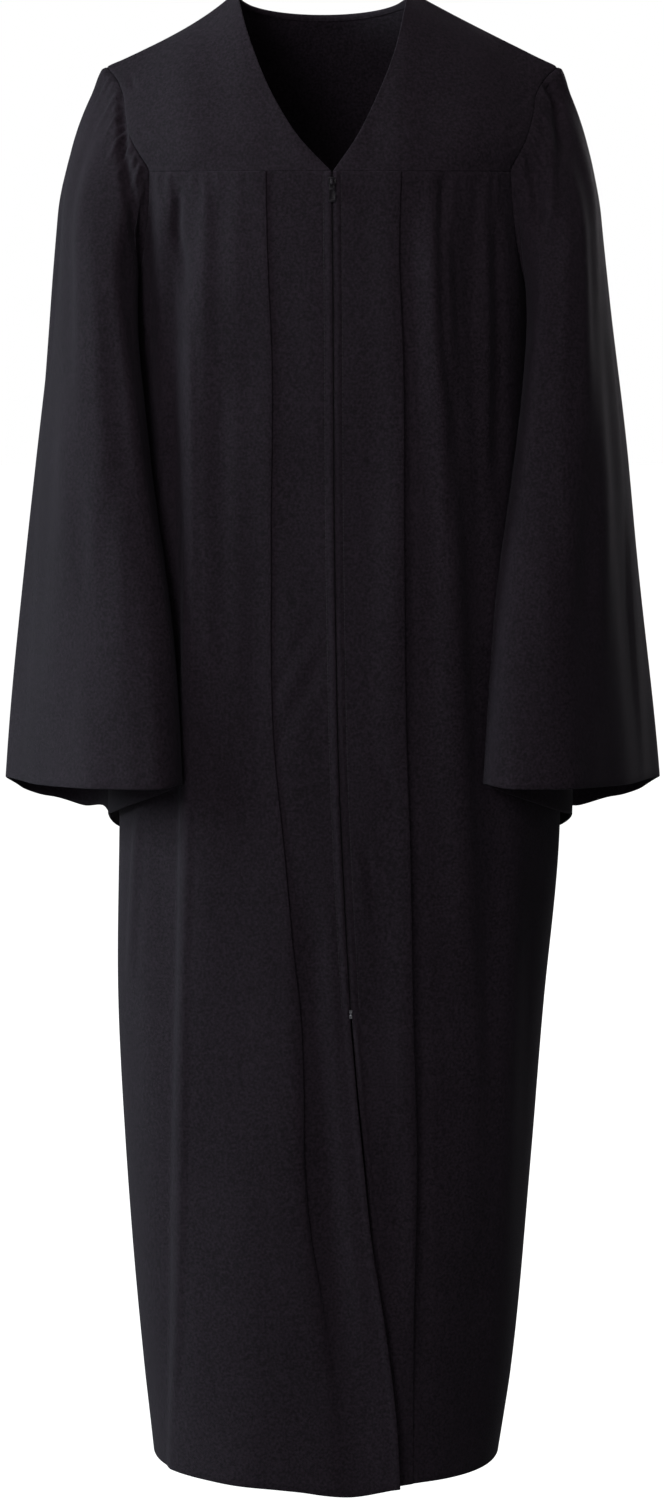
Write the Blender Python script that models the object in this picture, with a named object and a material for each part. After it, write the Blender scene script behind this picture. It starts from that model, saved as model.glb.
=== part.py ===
"""Choir robe, held up by the shoulders that wear it: yoke, fronts, back, bell sleeves and a front zip.

Metres, +Z up, the front faces -Y and the wearer's right side is at -X. The origin lies on the
centre line at the height of the neck points, where the shoulders carry the robe.
Cloth is a closed wall on each side of a middle surface, and pieces stop SEAM_GAP apart.
"""

import math

import bmesh
import bpy
import numpy as np

CLOTH = 0.0012  # wall of every cloth piece
SEAM_GAP = 0.0003
LENGTH = 1.372  # neck point to hem
YOKE_DEPTH = 0.165  # neck point down to the front yoke seam
ARMHOLE_DEPTH = 0.315  # neck point down to the underarm
ROUNDNESS = 2.3  # exponent of the body's sections, 2 would be an ellipse
RIGHT, LEFT = -1, 1  # the wearer's sides, as signs of X

LAYER = 0.0016  # one layer of a pressed pleat to the next
PLEAT_UNDER = 0.016  # width hidden under a pleat
PLEAT_SLOPE = 0.012  # width of the slope that a pleat opens into
STACK_REACH = (0.30, 0.45)  # share of the cloth beside a pleat that its layers lift, yoke and hem
SEAM_FADE = 0.86  # from this share on, folds fade out towards the side seam
CORNER_ANGLE = math.radians(57.0)  # where the yoke seam ends, round the body from the front
SIDE_ANGLE = math.radians(90.0)
HOLD_ANGLE = math.radians(40.0)  # inside this, an armhole doesn't move a panel's cloth

LIP = 0.0016  # from the zip's middle to each folded front edge
TAPE_WIDTH = 0.011
TAPE_THICKNESS = 0.001
CHAIN_HALF = 0.0013
CHAIN_THICKNESS = 0.0018
ZIP_TOP = 0.003  # from the yoke seam down to the tapes' ends
ZIP_END = -0.922  # height of the bottom stop
TAPE_OVERRUN = 0.006  # how far the tapes run on below it
SLIDER_HEIGHT = -0.1755
# The metal pieces: width, depth out from the cloth and height.
SLIDER_SIZE = (0.0068, 0.0014, 0.0100)
NECK_DEPTH = 0.0016
BRIDGE_SIZE = (0.0016, 0.0030, 0.0050)
TUNNEL_SIZE = (0.0040, 0.0019, 0.0030)
TAB_SIZE = (0.0058, 0.0011, 0.0175)
EYE_SIZE = (0.0026, 0.0040, 0.0036)
STOP_SIZE = (0.0026, 0.0024, 0.0060)
METAL_BEVEL = 0.0004

CLEARANCE = 0.009  # least distance from the body's middle surface to the sleeve's
HEAD_CLEARANCE = 0.0045  # the same beside the armhole seam
YOKE_FOOT = -0.150  # below this height the body's sections bound the sleeve
SETTLE = 0.20  # share of the sleeve over which its head comes to the hanging section
SEAM_RISE = 0.0012  # how far a sleeve head stands out beside its seam
SEAM_TURN = 0.0022  # how far it runs on before it falls


class Table:
    """Rows with named columns, read smoothly at any height between them."""

    def __init__(self, columns, rows):
        self.columns = columns
        self.rows = np.array(sorted(rows), float)

    def at(self, column, height):
        """The column's value at the height, on a cubic through the rows."""
        x = self.rows[:, 0]
        y = self.rows[:, self.columns.index(column)]
        height = min(max(height, x[0]), x[-1])
        slope = np.gradient(y, x)
        k = min(int(np.searchsorted(x, height, "right")), len(x) - 1) - 1
        k = max(k, 0)
        step = x[k + 1] - x[k]
        t = (height - x[k]) / step
        return (
            (2 * t**3 - 3 * t**2 + 1) * y[k]
            + (t**3 - 2 * t**2 + t) * step * slope[k]
            + (3 * t**2 - 2 * t**3) * y[k + 1]
            + (t**3 - t**2) * step * slope[k + 1]
        )


BODY = Table(
    ("height", "sway", "half", "front", "back"),
    (
        (-0.165, -0.002, 0.190, 0.122, 0.108),
        (-0.315, 0.000, 0.191, 0.136, 0.124),
        (-0.500, 0.003, 0.195, 0.142, 0.132),
        (-0.770, 0.007, 0.205, 0.145, 0.139),
        (-0.930, -0.001, 0.199, 0.145, 0.142),
        (-1.070, -0.003, 0.191, 0.144, 0.145),
        (-1.240, -0.004, 0.177, 0.142, 0.147),
        (-1.372, -0.006, 0.163, 0.141, 0.148),
    ),
)

ZIP_LINE = Table(
    ("height", "x"),
    (
        (-0.165, 0.000),
        (-0.280, 0.001),
        (-0.545, 0.003),
        (-0.724, 0.007),
        (-0.850, 0.013),
        (-0.930, 0.0175),
    ),
)

# The right front's edge lies over the left one's below the zip; lift is how far each moves off.
SLIT = Table(
    ("height", "over_x", "under_x", "lift"),
    (
        (-0.930, 0.0159, 0.0191, 0.0000),
        (-0.995, 0.0215, 0.0262, 0.0012),
        (-1.060, 0.0277, 0.0322, 0.0024),
        (-1.125, 0.0340, 0.0352, 0.0030),
        (-1.220, 0.0480, 0.0360, 0.0034),
        (-1.300, 0.0566, 0.0352, 0.0036),
        (-1.372, 0.0598, 0.0345, 0.0036),
    ),
)

PLEATS = Table(
    ("height", "right_x", "left_x", "opening", "flattening"),
    (
        (-0.165, -0.0593, 0.0606, 0.0, 0.0),
        (-0.235, -0.0580, 0.0588, 0.0, 0.0),
        (-0.330, -0.0540, 0.0622, 0.0, 0.0),
        (-0.500, -0.0548, 0.0632, 0.0, 0.0),
        (-0.680, -0.0525, 0.0662, 0.0, 0.0),
        (-0.770, -0.0437, 0.0695, 0.0, 0.0),
        (-0.860, -0.0358, 0.0712, 0.0, 0.0),
        (-0.930, -0.0286, 0.0724, 0.0, 0.0),
        (-0.995, -0.0262, 0.0748, 0.0, 0.0),
        (-1.060, -0.0245, 0.0764, 0.3, 0.0),
        (-1.125, -0.0185, 0.0750, 0.6, 0.0),
        (-1.200, -0.0060, 0.0730, 0.85, 0.1),
        (-1.290, 0.0020, 0.0731, 1.0, 0.6),
        (-1.372, 0.0050, 0.0735, 1.0, 0.8),
    ),
)

# Soft folds: x along the front at the yoke and at the hem, where each starts, is full and ends.
FOLD_COLUMNS = ("x_top", "x_hem", "start", "full", "end", "height", "half_width")
RIGHT_FOLDS = (
    (-0.086, -0.080, -0.166, -0.220, -0.560, 0.0022, 0.014),
    (-0.112, -0.112, -0.166, -0.200, -0.420, 0.0026, 0.012),
    (-0.129, -0.156, -0.166, -0.480, -1.600, 0.0060, 0.022),
    (-0.150, -0.170, -0.166, -0.200, -0.500, 0.0030, 0.012),
    (-0.184, -0.160, -0.500, -0.820, -1.200, 0.0040, 0.018),
    (-0.100, -0.095, -0.900, -1.300, -1.700, 0.0060, 0.026),
)
LEFT_FOLDS = (
    (0.090, 0.122, -0.166, -0.330, -1.600, 0.0062, 0.024),
    (0.116, 0.150, -0.166, -0.260, -1.000, -0.0040, 0.016),
    (0.136, 0.152, -0.166, -0.200, -0.620, 0.0034, 0.012),
    (0.152, 0.160, -0.166, -0.200, -0.420, 0.0026, 0.011),
    (0.180, 0.150, -0.600, -0.900, -1.500, 0.0050, 0.022),
)
# Flutes of the back: degrees from its middle, half width in degrees, the drop over which each
# rises below the yoke, and its height there and at the hem.
FLUTE_COLUMNS = ("turn", "half_width", "rise", "top", "hem")
BACK_FLUTES = (
    (-70.0, 13.0, 0.05, 0.0026, 0.0050),
    (-50.0, 14.0, 0.03, 0.0036, 0.0150),
    (-27.0, 14.0, 0.05, 0.0030, 0.0110),
    (-6.0, 13.0, 0.04, 0.0034, 0.0160),
    (16.0, 15.0, 0.06, 0.0028, 0.0120),
    (37.0, 12.0, 0.03, 0.0036, 0.0140),
    (58.0, 15.0, 0.05, 0.0030, 0.0100),
)

# The front view of the neck and armholes; depth is how far each point lies before the side plane.
NECKLINE = Table(
    ("height", "sway", "half", "depth"),
    (
        (-0.1650, 0.0000, 0.0008, 0.1220),
        (-0.1380, -0.0035, 0.0240, 0.1120),
        (-0.1020, -0.0060, 0.0450, 0.0920),
        (-0.0570, -0.0070, 0.0640, 0.0620),
        (-0.0120, -0.0085, 0.0762, 0.0200),
        (0.0000, -0.0085, 0.0790, 0.0000),
    ),
)
ARMHOLE_TOP = Table(
    ("height", "sway", "half", "front", "back"),
    (
        (-0.1620, -0.0020, 0.1630, 0.0720, 0.0640),
        (-0.1500, -0.0025, 0.1710, 0.0670, 0.0620),
        (-0.1360, -0.0030, 0.1785, 0.0590, 0.0570),
        (-0.1150, -0.0025, 0.1845, 0.0450, 0.0450),
        (-0.0920, -0.0020, 0.1890, 0.0260, 0.0270),
        (-0.0780, -0.0010, 0.1970, 0.0110, 0.0120),
        (-0.0690, 0.0000, 0.2060, 0.0000, 0.0000),
    ),
)
SHOULDER_SAG = {RIGHT: 0.0070, LEFT: 0.0015}  # how far each shoulder line hangs below a straight one
# How far the hem rises from its lowest point, which hangs at the slit, by the sine of the angle
# round the body from its front or back middle.
HEM = Table(
    ("across", "rise"),
    (
        (-1.00, 0.0100),
        (-0.85, 0.0100),
        (-0.48, 0.0080),
        (-0.10, 0.0045),
        (0.10, 0.0000),
        (0.36, 0.0080),
        (0.85, 0.0095),
        (1.00, 0.0110),
    ),
)
BACK_NECK_DEPTH = 0.060
BACK_NECK_DROP = 0.020
NECK_EASING = 6  # rounds of smoothing a row, below the back neck's corners

SLEEVE = Table(
    ("height", "sway", "outer", "inner", "front", "back", "lean"),
    (
        (-0.100, -0.002, 0.244, 0.186, 0.060, 0.060, 0.004),
        (-0.160, -0.002, 0.2465, 0.180, 0.078, 0.072, 0.008),
        (-0.281, -0.001, 0.2585, 0.170, 0.106, 0.086, 0.016),
        (-0.437, 0.000, 0.277, 0.154, 0.128, 0.096, 0.026),
        (-0.560, 0.000, 0.291, 0.139, 0.142, 0.103, 0.038),
        (-0.724, 0.000, 0.309, 0.130, 0.156, 0.112, 0.048),
        (-0.790, 0.000, 0.315, 0.128, 0.159, 0.114, 0.050),
    ),
)
# The cuff's height by degrees round the sleeve: it hangs lowest behind, beside the body.
CUFF = Table(
    ("turn", "height"),
    (
        (-45.0, -0.738),
        (0.0, -0.725),
        (45.0, -0.724),
        (95.0, -0.725),
        (138.0, -0.722),
        (160.0, -0.750),
        (185.0, -0.768),
        (215.0, -0.776),
        (243.0, -0.778),
        (268.0, -0.760),
        (290.0, -0.750),
        (315.0, -0.738),
        (360.0, -0.725),
        (405.0, -0.724),
    ),
)
CORNER_TURN = math.radians(104.0)  # where the yoke corner's cloth comes down, round the sleeve
SLEEVE_ROWS = (0.035, 0.08, 0.14, 0.22, 0.32, 0.45, 0.58, 0.72, 0.86, 1.0)
HEAD_GATHER = 0.0030
HEAD_GATHER_LENGTH = 0.16  # share of the sleeve over which the head's gathers fall out
SLEEVE_FOLDS = (
    # turn round the sleeve in degrees, half width in degrees, height at the cuff
    (62.0, 24.0, 0.0050),
    (104.0, 16.0, -0.0035),
    (250.0, 26.0, 0.0060),
    (300.0, 22.0, -0.0040),
)

ARMHOLE_STEPS = 5
YOKE_STEPS = 7
LEAN_HEIGHT = 0.09  # above the yoke's corner, over which an armhole turns up to the shoulder
YOKE_COLUMNS = 10
CENTRE_COLUMNS = 4
OUTER_COLUMNS = 16
BACK_COLUMNS = 32
FIRST_GATHER_ROW = -0.178
LOWER_ROWS = (-0.40, -0.50, -0.61, -0.71, -0.79, -0.86, -0.93)  # down to the zip's end
SLIT_ROWS = (-0.995, -1.06, -1.125, -1.20, -1.29, -LENGTH)


def clear_scene():
    for obj in list(bpy.data.objects):
        bpy.data.objects.remove(obj)


def finish(name, colour, roughness, metallic=0.0):
    """A plain Principled material."""
    material = bpy.data.materials.new(name)
    material.use_nodes = True
    shader = material.node_tree.nodes["Principled BSDF"]
    shader.inputs["Base Color"].default_value = (*colour, 1.0)
    shader.inputs["Roughness"].default_value = roughness
    shader.inputs["Metallic"].default_value = metallic
    return material


def smooth(value):
    """0 to 1 with level ends."""
    value = min(max(value, 0.0), 1.0)
    return value * value * (3 - 2 * value)


def mix(first, second, share):
    return first + (second - first) * share


def unit(vector):
    return vector / np.linalg.norm(vector)


def body_angle(x, height):
    """The angle round the body, 0 at the front and 90 degrees at +X, whose front point is at x."""
    off = x - BODY.at("sway", height)
    share = min(abs(off) / BODY.at("half", height), 1.0)
    return math.copysign(math.asin(share ** (ROUNDNESS / 2)), off)


def body_frame(angle, height):
    """The point of the body's section at the angle, and its outward direction in plan."""
    half = BODY.at("half", height)
    depth = BODY.at("front" if math.cos(angle) > 0 else "back", height)
    across, ahead = math.sin(angle), math.cos(angle)
    u = math.copysign(abs(across) ** (2 / ROUNDNESS), across)
    w = math.copysign(abs(ahead) ** (2 / ROUNDNESS), ahead)
    point = np.array((BODY.at("sway", height) + half * u, -depth * w, height))
    out = np.array(
        (
            math.copysign(abs(u) ** (ROUNDNESS - 1), u) / half,
            -math.copysign(abs(w) ** (ROUNDNESS - 1), w) / depth,
            0.0,
        )
    )
    return point, unit(out)


def off_body(angle, height, out):
    """A point out from the body's section; the hem's row follows the hem's own rise."""
    point, direction = body_frame(angle, height)
    if height <= -LENGTH:
        point[2] += HEM.at("rise", math.sin(angle))
    return point + direction * out


def along(angle, height, distance):
    """The angle that lies a distance further from the front, along the section."""
    here, _ = body_frame(angle, height)
    nudge = math.copysign(0.01, angle)
    there, _ = body_frame(angle + nudge, height)
    return angle + nudge * distance / np.linalg.norm(there - here)


def armhole_angle(side, height):
    """Where the armhole cuts a panel: round at the underarm, upright at the yoke."""
    share = (-YOKE_DEPTH - height) / (ARMHOLE_DEPTH - YOKE_DEPTH)
    if share >= 1:
        return side * SIDE_ANGLE
    turn = 1 - math.sqrt(1 - max(share, 0.0) ** 2)
    return side * mix(CORNER_ANGLE, SIDE_ANGLE, turn)


def panel_angle(natural, end):
    """An angle from a panel's middle, squeezed near its edge where an armhole cuts it back."""
    if abs(natural) <= HOLD_ANGLE:
        return natural
    share = (abs(natural) - HOLD_ANGLE) / (SIDE_ANGLE - HOLD_ANGLE)
    return math.copysign(mix(HOLD_ANGLE, abs(end), share), natural)


def panel_heights():
    """Row heights, close together at the yoke and round the armhole."""
    drop = ARMHOLE_DEPTH - YOKE_DEPTH
    steps = [math.sin(math.pi / 2 * k / ARMHOLE_STEPS) for k in range(ARMHOLE_STEPS + 1)]
    upper = [-YOKE_DEPTH - drop * step for step in steps]
    upper[0] -= SEAM_GAP
    return [upper[0], FIRST_GATHER_ROW, *upper[1:], *LOWER_ROWS, *SLIT_ROWS]


def fold_height(folds, x, height):
    """How far the soft folds raise the cloth at x."""
    total = 0.0
    fall = (height + YOKE_DEPTH) / (YOKE_DEPTH - LENGTH)
    for values in folds:
        fold = dict(zip(FOLD_COLUMNS, values, strict=True))
        middle = mix(fold["x_top"], fold["x_hem"], fall)
        away = abs(x - middle) / fold["half_width"]
        if away >= 1:
            continue
        if height > fold["full"]:
            reach = smooth((fold["start"] - height) / (fold["start"] - fold["full"]))
        else:
            reach = smooth((height - fold["end"]) / (fold["full"] - fold["end"]))
        total += fold["height"] * reach * math.cos(math.pi / 2 * away) ** 2
    return total


def front_row(side, height):
    """One row of a front, centre edge to armhole or side seam, as points of its middle surface."""
    over = side == RIGHT
    crease = body_angle(PLEATS.at("right_x" if over else "left_x", height), height)
    if height >= ZIP_END:
        edge_x = ZIP_LINE.at("x", height) + side * LIP
        lift = 0.0
    else:
        edge_x = SLIT.at("over_x" if over else "under_x", height)
        lift = SLIT.at("lift", height) * (1 if over else -1)
    edge = body_angle(edge_x, height)
    opening = min(max(PLEATS.at("opening", height), 0.0), 1.0)
    flat = 1 - min(max(PLEATS.at("flattening", height), 0.0), 1.0)
    layer = LAYER * flat * (1 + 1.4 * opening * (1 - opening))

    # Each pleat column: along the cloth from the crease when folded and when open, and its layer.
    turn = LAYER * 0.5
    pleat = (
        (PLEAT_UNDER, -PLEAT_SLOPE, 0.0, 0.0),
        (PLEAT_UNDER + turn, -PLEAT_SLOPE * 5 / 6, 0.5, 1 / 3),
        (PLEAT_UNDER, -PLEAT_SLOPE * 4 / 6, 1.0, 2 / 3),
        (PLEAT_UNDER / 2, -PLEAT_SLOPE * 3 / 6, 1.0, 1.0),
        (0.0, -PLEAT_SLOPE * 2 / 6, 1.0, 4 / 3),
        (-turn, -PLEAT_SLOPE / 6, 1.5, 5 / 3),
        (0.0, 0.0, 2.0, 2.0),
    )
    fold = []
    for folded, opened, layers, open_layers in pleat:
        angle = along(crease, height, mix(folded, opened, opening))
        if abs(crease) < 0.08 or crease * side < 0:
            angle = crease + side * mix(folded, opened, opening) / BODY.at("half", height) * 1.02
        fold.append((angle, layer * mix(layers, open_layers, opening)))

    # The centre cloth runs flat to a closed crease, and on to the first column of an open one.
    points = []
    last, steps = (crease, CENTRE_COLUMNS) if opening == 0 else (fold[0][0], CENTRE_COLUMNS + 1)
    for k in range(CENTRE_COLUMNS + 1):
        fade = (1 - k / (CENTRE_COLUMNS + 1)) ** 2
        points.append(off_body(mix(edge, last, k / steps), height, lift * fade))
    for angle, out in fold:
        points.append(off_body(angle, height, out))

    end = armhole_angle(side, height)
    fall = (height + YOKE_DEPTH) / (YOKE_DEPTH - LENGTH)
    for k in range(1, OUTER_COLUMNS + 1):
        share = k / OUTER_COLUMNS
        angle = panel_angle(mix(crease, side * SIDE_ANGLE, share), end)
        x = body_frame(angle, height)[0][0]
        folds = fold_height(RIGHT_FOLDS if over else LEFT_FOLDS, x, height)
        stack = 2 * layer * (1 - smooth(share / mix(*STACK_REACH, fall)))
        seam = 1 - smooth((share - SEAM_FADE) / (1 - SEAM_FADE))
        points.append(off_body(angle, height, stack + folds * seam))
    return points


def back_row(height):
    """One row of the back, the right armhole or side seam to the left one."""
    points = []
    end = armhole_angle(LEFT, height)
    fall = (height + YOKE_DEPTH) / (YOKE_DEPTH - LENGTH)
    for k in range(BACK_COLUMNS + 1):
        natural = SIDE_ANGLE * (2 * k / BACK_COLUMNS - 1)
        angle = math.pi - panel_angle(natural, end)
        out = 0.0
        for values in BACK_FLUTES:
            flute = dict(zip(FLUTE_COLUMNS, values, strict=True))
            away = abs(math.degrees(natural) - flute["turn"]) / flute["half_width"]
            if away < 1:
                rise = smooth((-YOKE_DEPTH - 0.001 - height) / flute["rise"])
                size = mix(flute["top"], flute["hem"], fall**0.8)
                out += size * rise * math.cos(math.pi / 2 * away) ** 2
        points.append(off_body(angle, height, out))
    return points


def grid_normals(grid, closed=False):
    """Unit normals of a grid of points, rows down and columns to +X across the front."""
    if closed:
        across = np.roll(grid, -1, 1) - np.roll(grid, 1, 1)
    else:
        across = np.gradient(grid, axis=1)
    down = np.gradient(grid, axis=0)
    normals = np.cross(down, across)
    return normals / np.linalg.norm(normals, axis=2, keepdims=True)


def wall(name, grid, normals, thickness, material, closed=False):
    """A closed wall on both sides of the grid, with its borders joined."""
    rows, columns = grid.shape[:2]
    mesh = bmesh.new()
    skins = [
        [[mesh.verts.new(point) for point in row] for row in grid + normals * half]
        for half in (thickness / 2, -thickness / 2)
    ]
    outer, inner = skins
    across = range(columns if closed else columns - 1)
    for r in range(rows - 1):
        for c in across:
            d = (c + 1) % columns
            mesh.faces.new((outer[r][c], outer[r + 1][c], outer[r + 1][d], outer[r][d]))
            mesh.faces.new((inner[r][d], inner[r + 1][d], inner[r + 1][c], inner[r][c]))
    for c in across:
        d = (c + 1) % columns
        mesh.faces.new((outer[0][d], inner[0][d], inner[0][c], outer[0][c]))
        mesh.faces.new((outer[-1][c], inner[-1][c], inner[-1][d], outer[-1][d]))
    if not closed:
        for r in range(rows - 1):
            mesh.faces.new((outer[r][0], inner[r][0], inner[r + 1][0], outer[r + 1][0]))
            mesh.faces.new((outer[r + 1][-1], inner[r + 1][-1], inner[r][-1], outer[r][-1]))
    return placed(name, mesh, material)


def placed(name, mesh, material):
    """The finished mesh as an object, smooth but for its sharp edges."""
    bmesh.ops.recalc_face_normals(mesh, faces=mesh.faces)
    data = bpy.data.meshes.new(name)
    mesh.to_mesh(data)
    mesh.free()
    data.shade_smooth()
    data.set_sharp_from_angle(angle=math.radians(40))
    data.materials.append(material)
    obj = bpy.data.objects.new(name, data)
    bpy.context.collection.objects.link(obj)
    return obj


def pull_in(grid, column, distance):
    """Moves an edge column towards its neighbour, so that the seam keeps its gap."""
    inside = 1 if column == 0 else -2
    for row in grid:
        row[column] += unit(row[inside] - row[column]) * distance


def seam_normals(points):
    """Plan normals of the body at points that lie on it."""
    normals = []
    for point in points:
        half = BODY.at("half", point[2])
        depth = BODY.at("front" if point[1] < 0 else "back", point[2])
        u = (point[0] - BODY.at("sway", point[2])) / half
        w = point[1] / depth
        normals.append(
            unit(
                np.array(
                    (
                        math.copysign(abs(u) ** (ROUNDNESS - 1), u) / half,
                        math.copysign(abs(w) ** (ROUNDNESS - 1), w) / depth,
                        0.0,
                    )
                )
            )
        )
    return np.array(normals)


def build_front(side, material):
    grid = np.array([front_row(side, height) for height in panel_heights()])
    edge = ARMHOLE_STEPS + 1
    rim = seam_normals(grid[:, -1])
    lower = grid[edge:]
    pull_in(lower, -1, SEAM_GAP / 2)
    if side == RIGHT:
        grid, rim_column = grid[:, ::-1], 0
    else:
        rim_column = -1
    normals = grid_normals(grid)
    normals[:, rim_column] = rim
    name = "front_right" if side == RIGHT else "front_left"
    return wall(name, grid, normals, CLOTH, material)


def build_back(material):
    grid = np.array([back_row(height) for height in panel_heights()])
    rims = [seam_normals(grid[:, column]) for column in (0, -1)]
    edge = ARMHOLE_STEPS + 1
    for column in (0, -1):
        pull_in(grid[edge:], column, SEAM_GAP / 2)
    grid = grid[:, ::-1]
    normals = grid_normals(grid)
    normals[:, 0], normals[:, -1] = rims[1], rims[0]
    return wall("back", grid, normals, CLOTH, material)


def neck_point(side):
    sway = NECKLINE.at("sway", 0.0)
    return np.array((sway + side * NECKLINE.at("half", 0.0), 0.0, 0.0))


def shoulder_tip(side):
    top = ARMHOLE_TOP.rows[-1][0]
    sway = ARMHOLE_TOP.at("sway", top)
    return np.array((sway + side * ARMHOLE_TOP.at("half", top), 0.0, top))


def shoulder_line(side, share):
    """From the neck point at 0 to the tip at 1."""
    point = mix(neck_point(side), shoulder_tip(side), share)
    point[2] -= SHOULDER_SAG[side] * math.sin(math.pi * share**0.7)
    return point


def shoulder_normal(side):
    """Straight up from the shoulder line, for both cloths that meet there."""
    run = shoulder_tip(side) - neck_point(side)
    return unit(np.array((-run[2] * side, 0.0, run[0] * side)))


def even_heights(top, bottom, count):
    """Heights down a curved edge, closer together at its level upper end."""
    return [mix(top, bottom, (k / count) ** 1.25) for k in range(count + 1)]


def armhole_points(side, face):
    """The yoke's armhole edge, tip to corner, on its front or back face."""
    sign = -1 if face == "front" else 1
    top, bottom = ARMHOLE_TOP.rows[-1][0], ARMHOLE_TOP.rows[0][0]
    points = []
    for height in even_heights(top, bottom, YOKE_STEPS):
        x = ARMHOLE_TOP.at("sway", height) + side * ARMHOLE_TOP.at("half", height)
        points.append(np.array((x, sign * ARMHOLE_TOP.at(face, height), height)))
    corner = CORNER_ANGLE if face == "front" else math.pi - CORNER_ANGLE
    points[-1] = body_frame(side * corner, -YOKE_DEPTH)[0]
    return points


def neckline_points(side):
    """The neckline, neck point down to the foot of the V."""
    points = []
    for height in even_heights(0.0, -YOKE_DEPTH, YOKE_STEPS):
        x = NECKLINE.at("sway", height) + side * NECKLINE.at("half", height)
        points.append(np.array((x, -NECKLINE.at("depth", height), height)))
    foot = body_angle(ZIP_LINE.at("x", -YOKE_DEPTH) + side * LIP, -YOKE_DEPTH)
    points[-1] = body_frame(foot, -YOKE_DEPTH)[0]
    return points


def patch(top, bottom, first, last, easing=0):
    """A smooth surface between four edges: top and bottom run across, first and last run down.

    Easing rounds the top edge's corners away in the rows below it.
    """
    rows, columns = len(first), len(top)
    grid = np.zeros((rows, columns, 3))
    upper = np.array(top)
    for r in range(rows):
        v = r / (rows - 1)
        for c in range(columns):
            u = c / (columns - 1)
            ruled = mix(upper[c], bottom[c], v) + mix(first[r], last[r], u)
            grid[r, c] = ruled - mix(mix(top[0], top[-1], u), mix(bottom[0], bottom[-1], u), v)
        for _ in range(easing):
            upper[1:-1] = (upper[:-2] + 2 * upper[1:-1] + upper[2:]) / 4
    return grid


def front_yoke_grid(side):
    """Rows from the shoulder seam down to the yoke seam, columns from the neck to the armhole."""
    share = [k / YOKE_COLUMNS for k in range(YOKE_COLUMNS + 1)]
    top = [shoulder_line(side, s) for s in share]
    neck, arm = neckline_points(side), armhole_points(side, "front")
    foot = body_angle(neck[-1][0], -YOKE_DEPTH)
    bottom = [body_frame(mix(foot, side * CORNER_ANGLE, s), -YOKE_DEPTH)[0] for s in share]
    return patch(top, bottom, neck, arm)


def build_front_yoke(side, material):
    grid = front_yoke_grid(side)
    rim = seam_normals(grid[-1])
    for point, down in zip(grid[0], grid[1], strict=True):
        point += unit(down - point) * SEAM_GAP / 2
    if side == RIGHT:
        grid, rim = grid[:, ::-1], rim[::-1]
    normals = grid_normals(grid)
    normals[-1] = rim
    normals[0] = shoulder_normal(side)
    name = "yoke_front_right" if side == RIGHT else "yoke_front_left"
    return wall(name, grid, normals, CLOTH, material)


def back_yoke_grid():
    """Rows from the shoulder seams and back neck down, columns from the right to the left."""
    count = YOKE_COLUMNS
    share = [k / count for k in range(count + 1)]
    right = [shoulder_line(RIGHT, 1 - s) for s in share]
    left = [shoulder_line(LEFT, s) for s in share]
    neck = []
    for k in range(1, count):
        turn = math.pi * k / count
        sway = NECKLINE.at("sway", 0.0)
        x = sway - NECKLINE.at("half", 0.0) * math.cos(turn)
        deep = math.sin(turn)
        neck.append(np.array((x, BACK_NECK_DEPTH * deep, -BACK_NECK_DROP * deep**0.7)))
    top = [*right, *neck, *left]
    columns = len(top) - 1
    ends = math.pi - CORNER_ANGLE
    bottom = []
    for k in range(columns + 1):
        angle = mix(-ends, ends - 2 * math.pi, k / columns)
        bottom.append(body_frame(angle, -YOKE_DEPTH)[0])
    first, last = armhole_points(RIGHT, "back"), armhole_points(LEFT, "back")
    return patch(top, bottom, first, last, NECK_EASING)


def build_back_yoke(material):
    grid = back_yoke_grid()
    rim = seam_normals(grid[-1])
    for point, down in zip(grid[0], grid[1], strict=True):
        point += unit(down - point) * SEAM_GAP / 2
    grid, rim = grid[:, ::-1], rim[::-1]
    normals = grid_normals(grid)
    normals[-1] = rim
    normals[0, : YOKE_COLUMNS + 1] = shoulder_normal(LEFT)
    normals[0, -YOKE_COLUMNS - 1 :] = shoulder_normal(RIGHT)
    return wall("yoke_back", grid, normals, CLOTH, material)


def armhole_loop(side):
    """The armhole's points and each one's turn round the sleeve: tip, front, underarm, back."""
    halves = []
    for face in ("front", "back"):
        run = armhole_points(side, face)
        corner = len(run) - 1
        for height in panel_heights()[2 : ARMHOLE_STEPS + 2]:
            angle = armhole_angle(side, height)
            if face == "back":
                angle = side * math.pi - angle
            run.append(body_frame(angle, height)[0])
        lengths = [np.linalg.norm(b - a) for a, b in zip(run, run[1:], strict=False)]
        steps = np.concatenate(([0.0], np.cumsum(lengths)))
        turns = np.interp(steps, [0.0, steps[corner], steps[-1]], [0.0, CORNER_TURN, math.pi])
        halves.append((run, list(turns)))
    (front, front_turns), (back, back_turns) = halves
    turns = front_turns + [2 * math.pi - turn for turn in back_turns[-2:0:-1]]
    return np.array(front + back[-2:0:-1]), np.array(turns)


def armhole_directions(side, points):
    """Outward from the body and off its edge, at each point of the armhole."""
    tangent = np.roll(points, -1, 0) - np.roll(points, 1, 0)
    centre = points.mean(0)
    outs, offs = [], []
    for point, run in zip(points, tangent, strict=True):
        if point[2] <= -YOKE_DEPTH + 1e-6:
            out = seam_normals([point])[0]
        else:
            lean = smooth((point[2] + YOKE_DEPTH) / LEAN_HEIGHT)
            flat = seam_normals([np.array((point[0], point[1], -YOKE_DEPTH))])[0]
            out = unit(mix(flat, shoulder_normal(side), lean))
        off = unit(np.cross(out, run))
        if np.dot(off, centre - point) < 0:
            off = -off
        outs.append(unit(out))
        offs.append(off)
    return np.array(outs), np.array(offs)


def refine(values):
    """Each closed-loop value followed by the one half-way to the next."""
    following = np.roll(values, -1, 0)
    both = np.empty((2 * len(values), *values.shape[1:]))
    both[0::2], both[1::2] = values, (values + following) / 2
    return both


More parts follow.
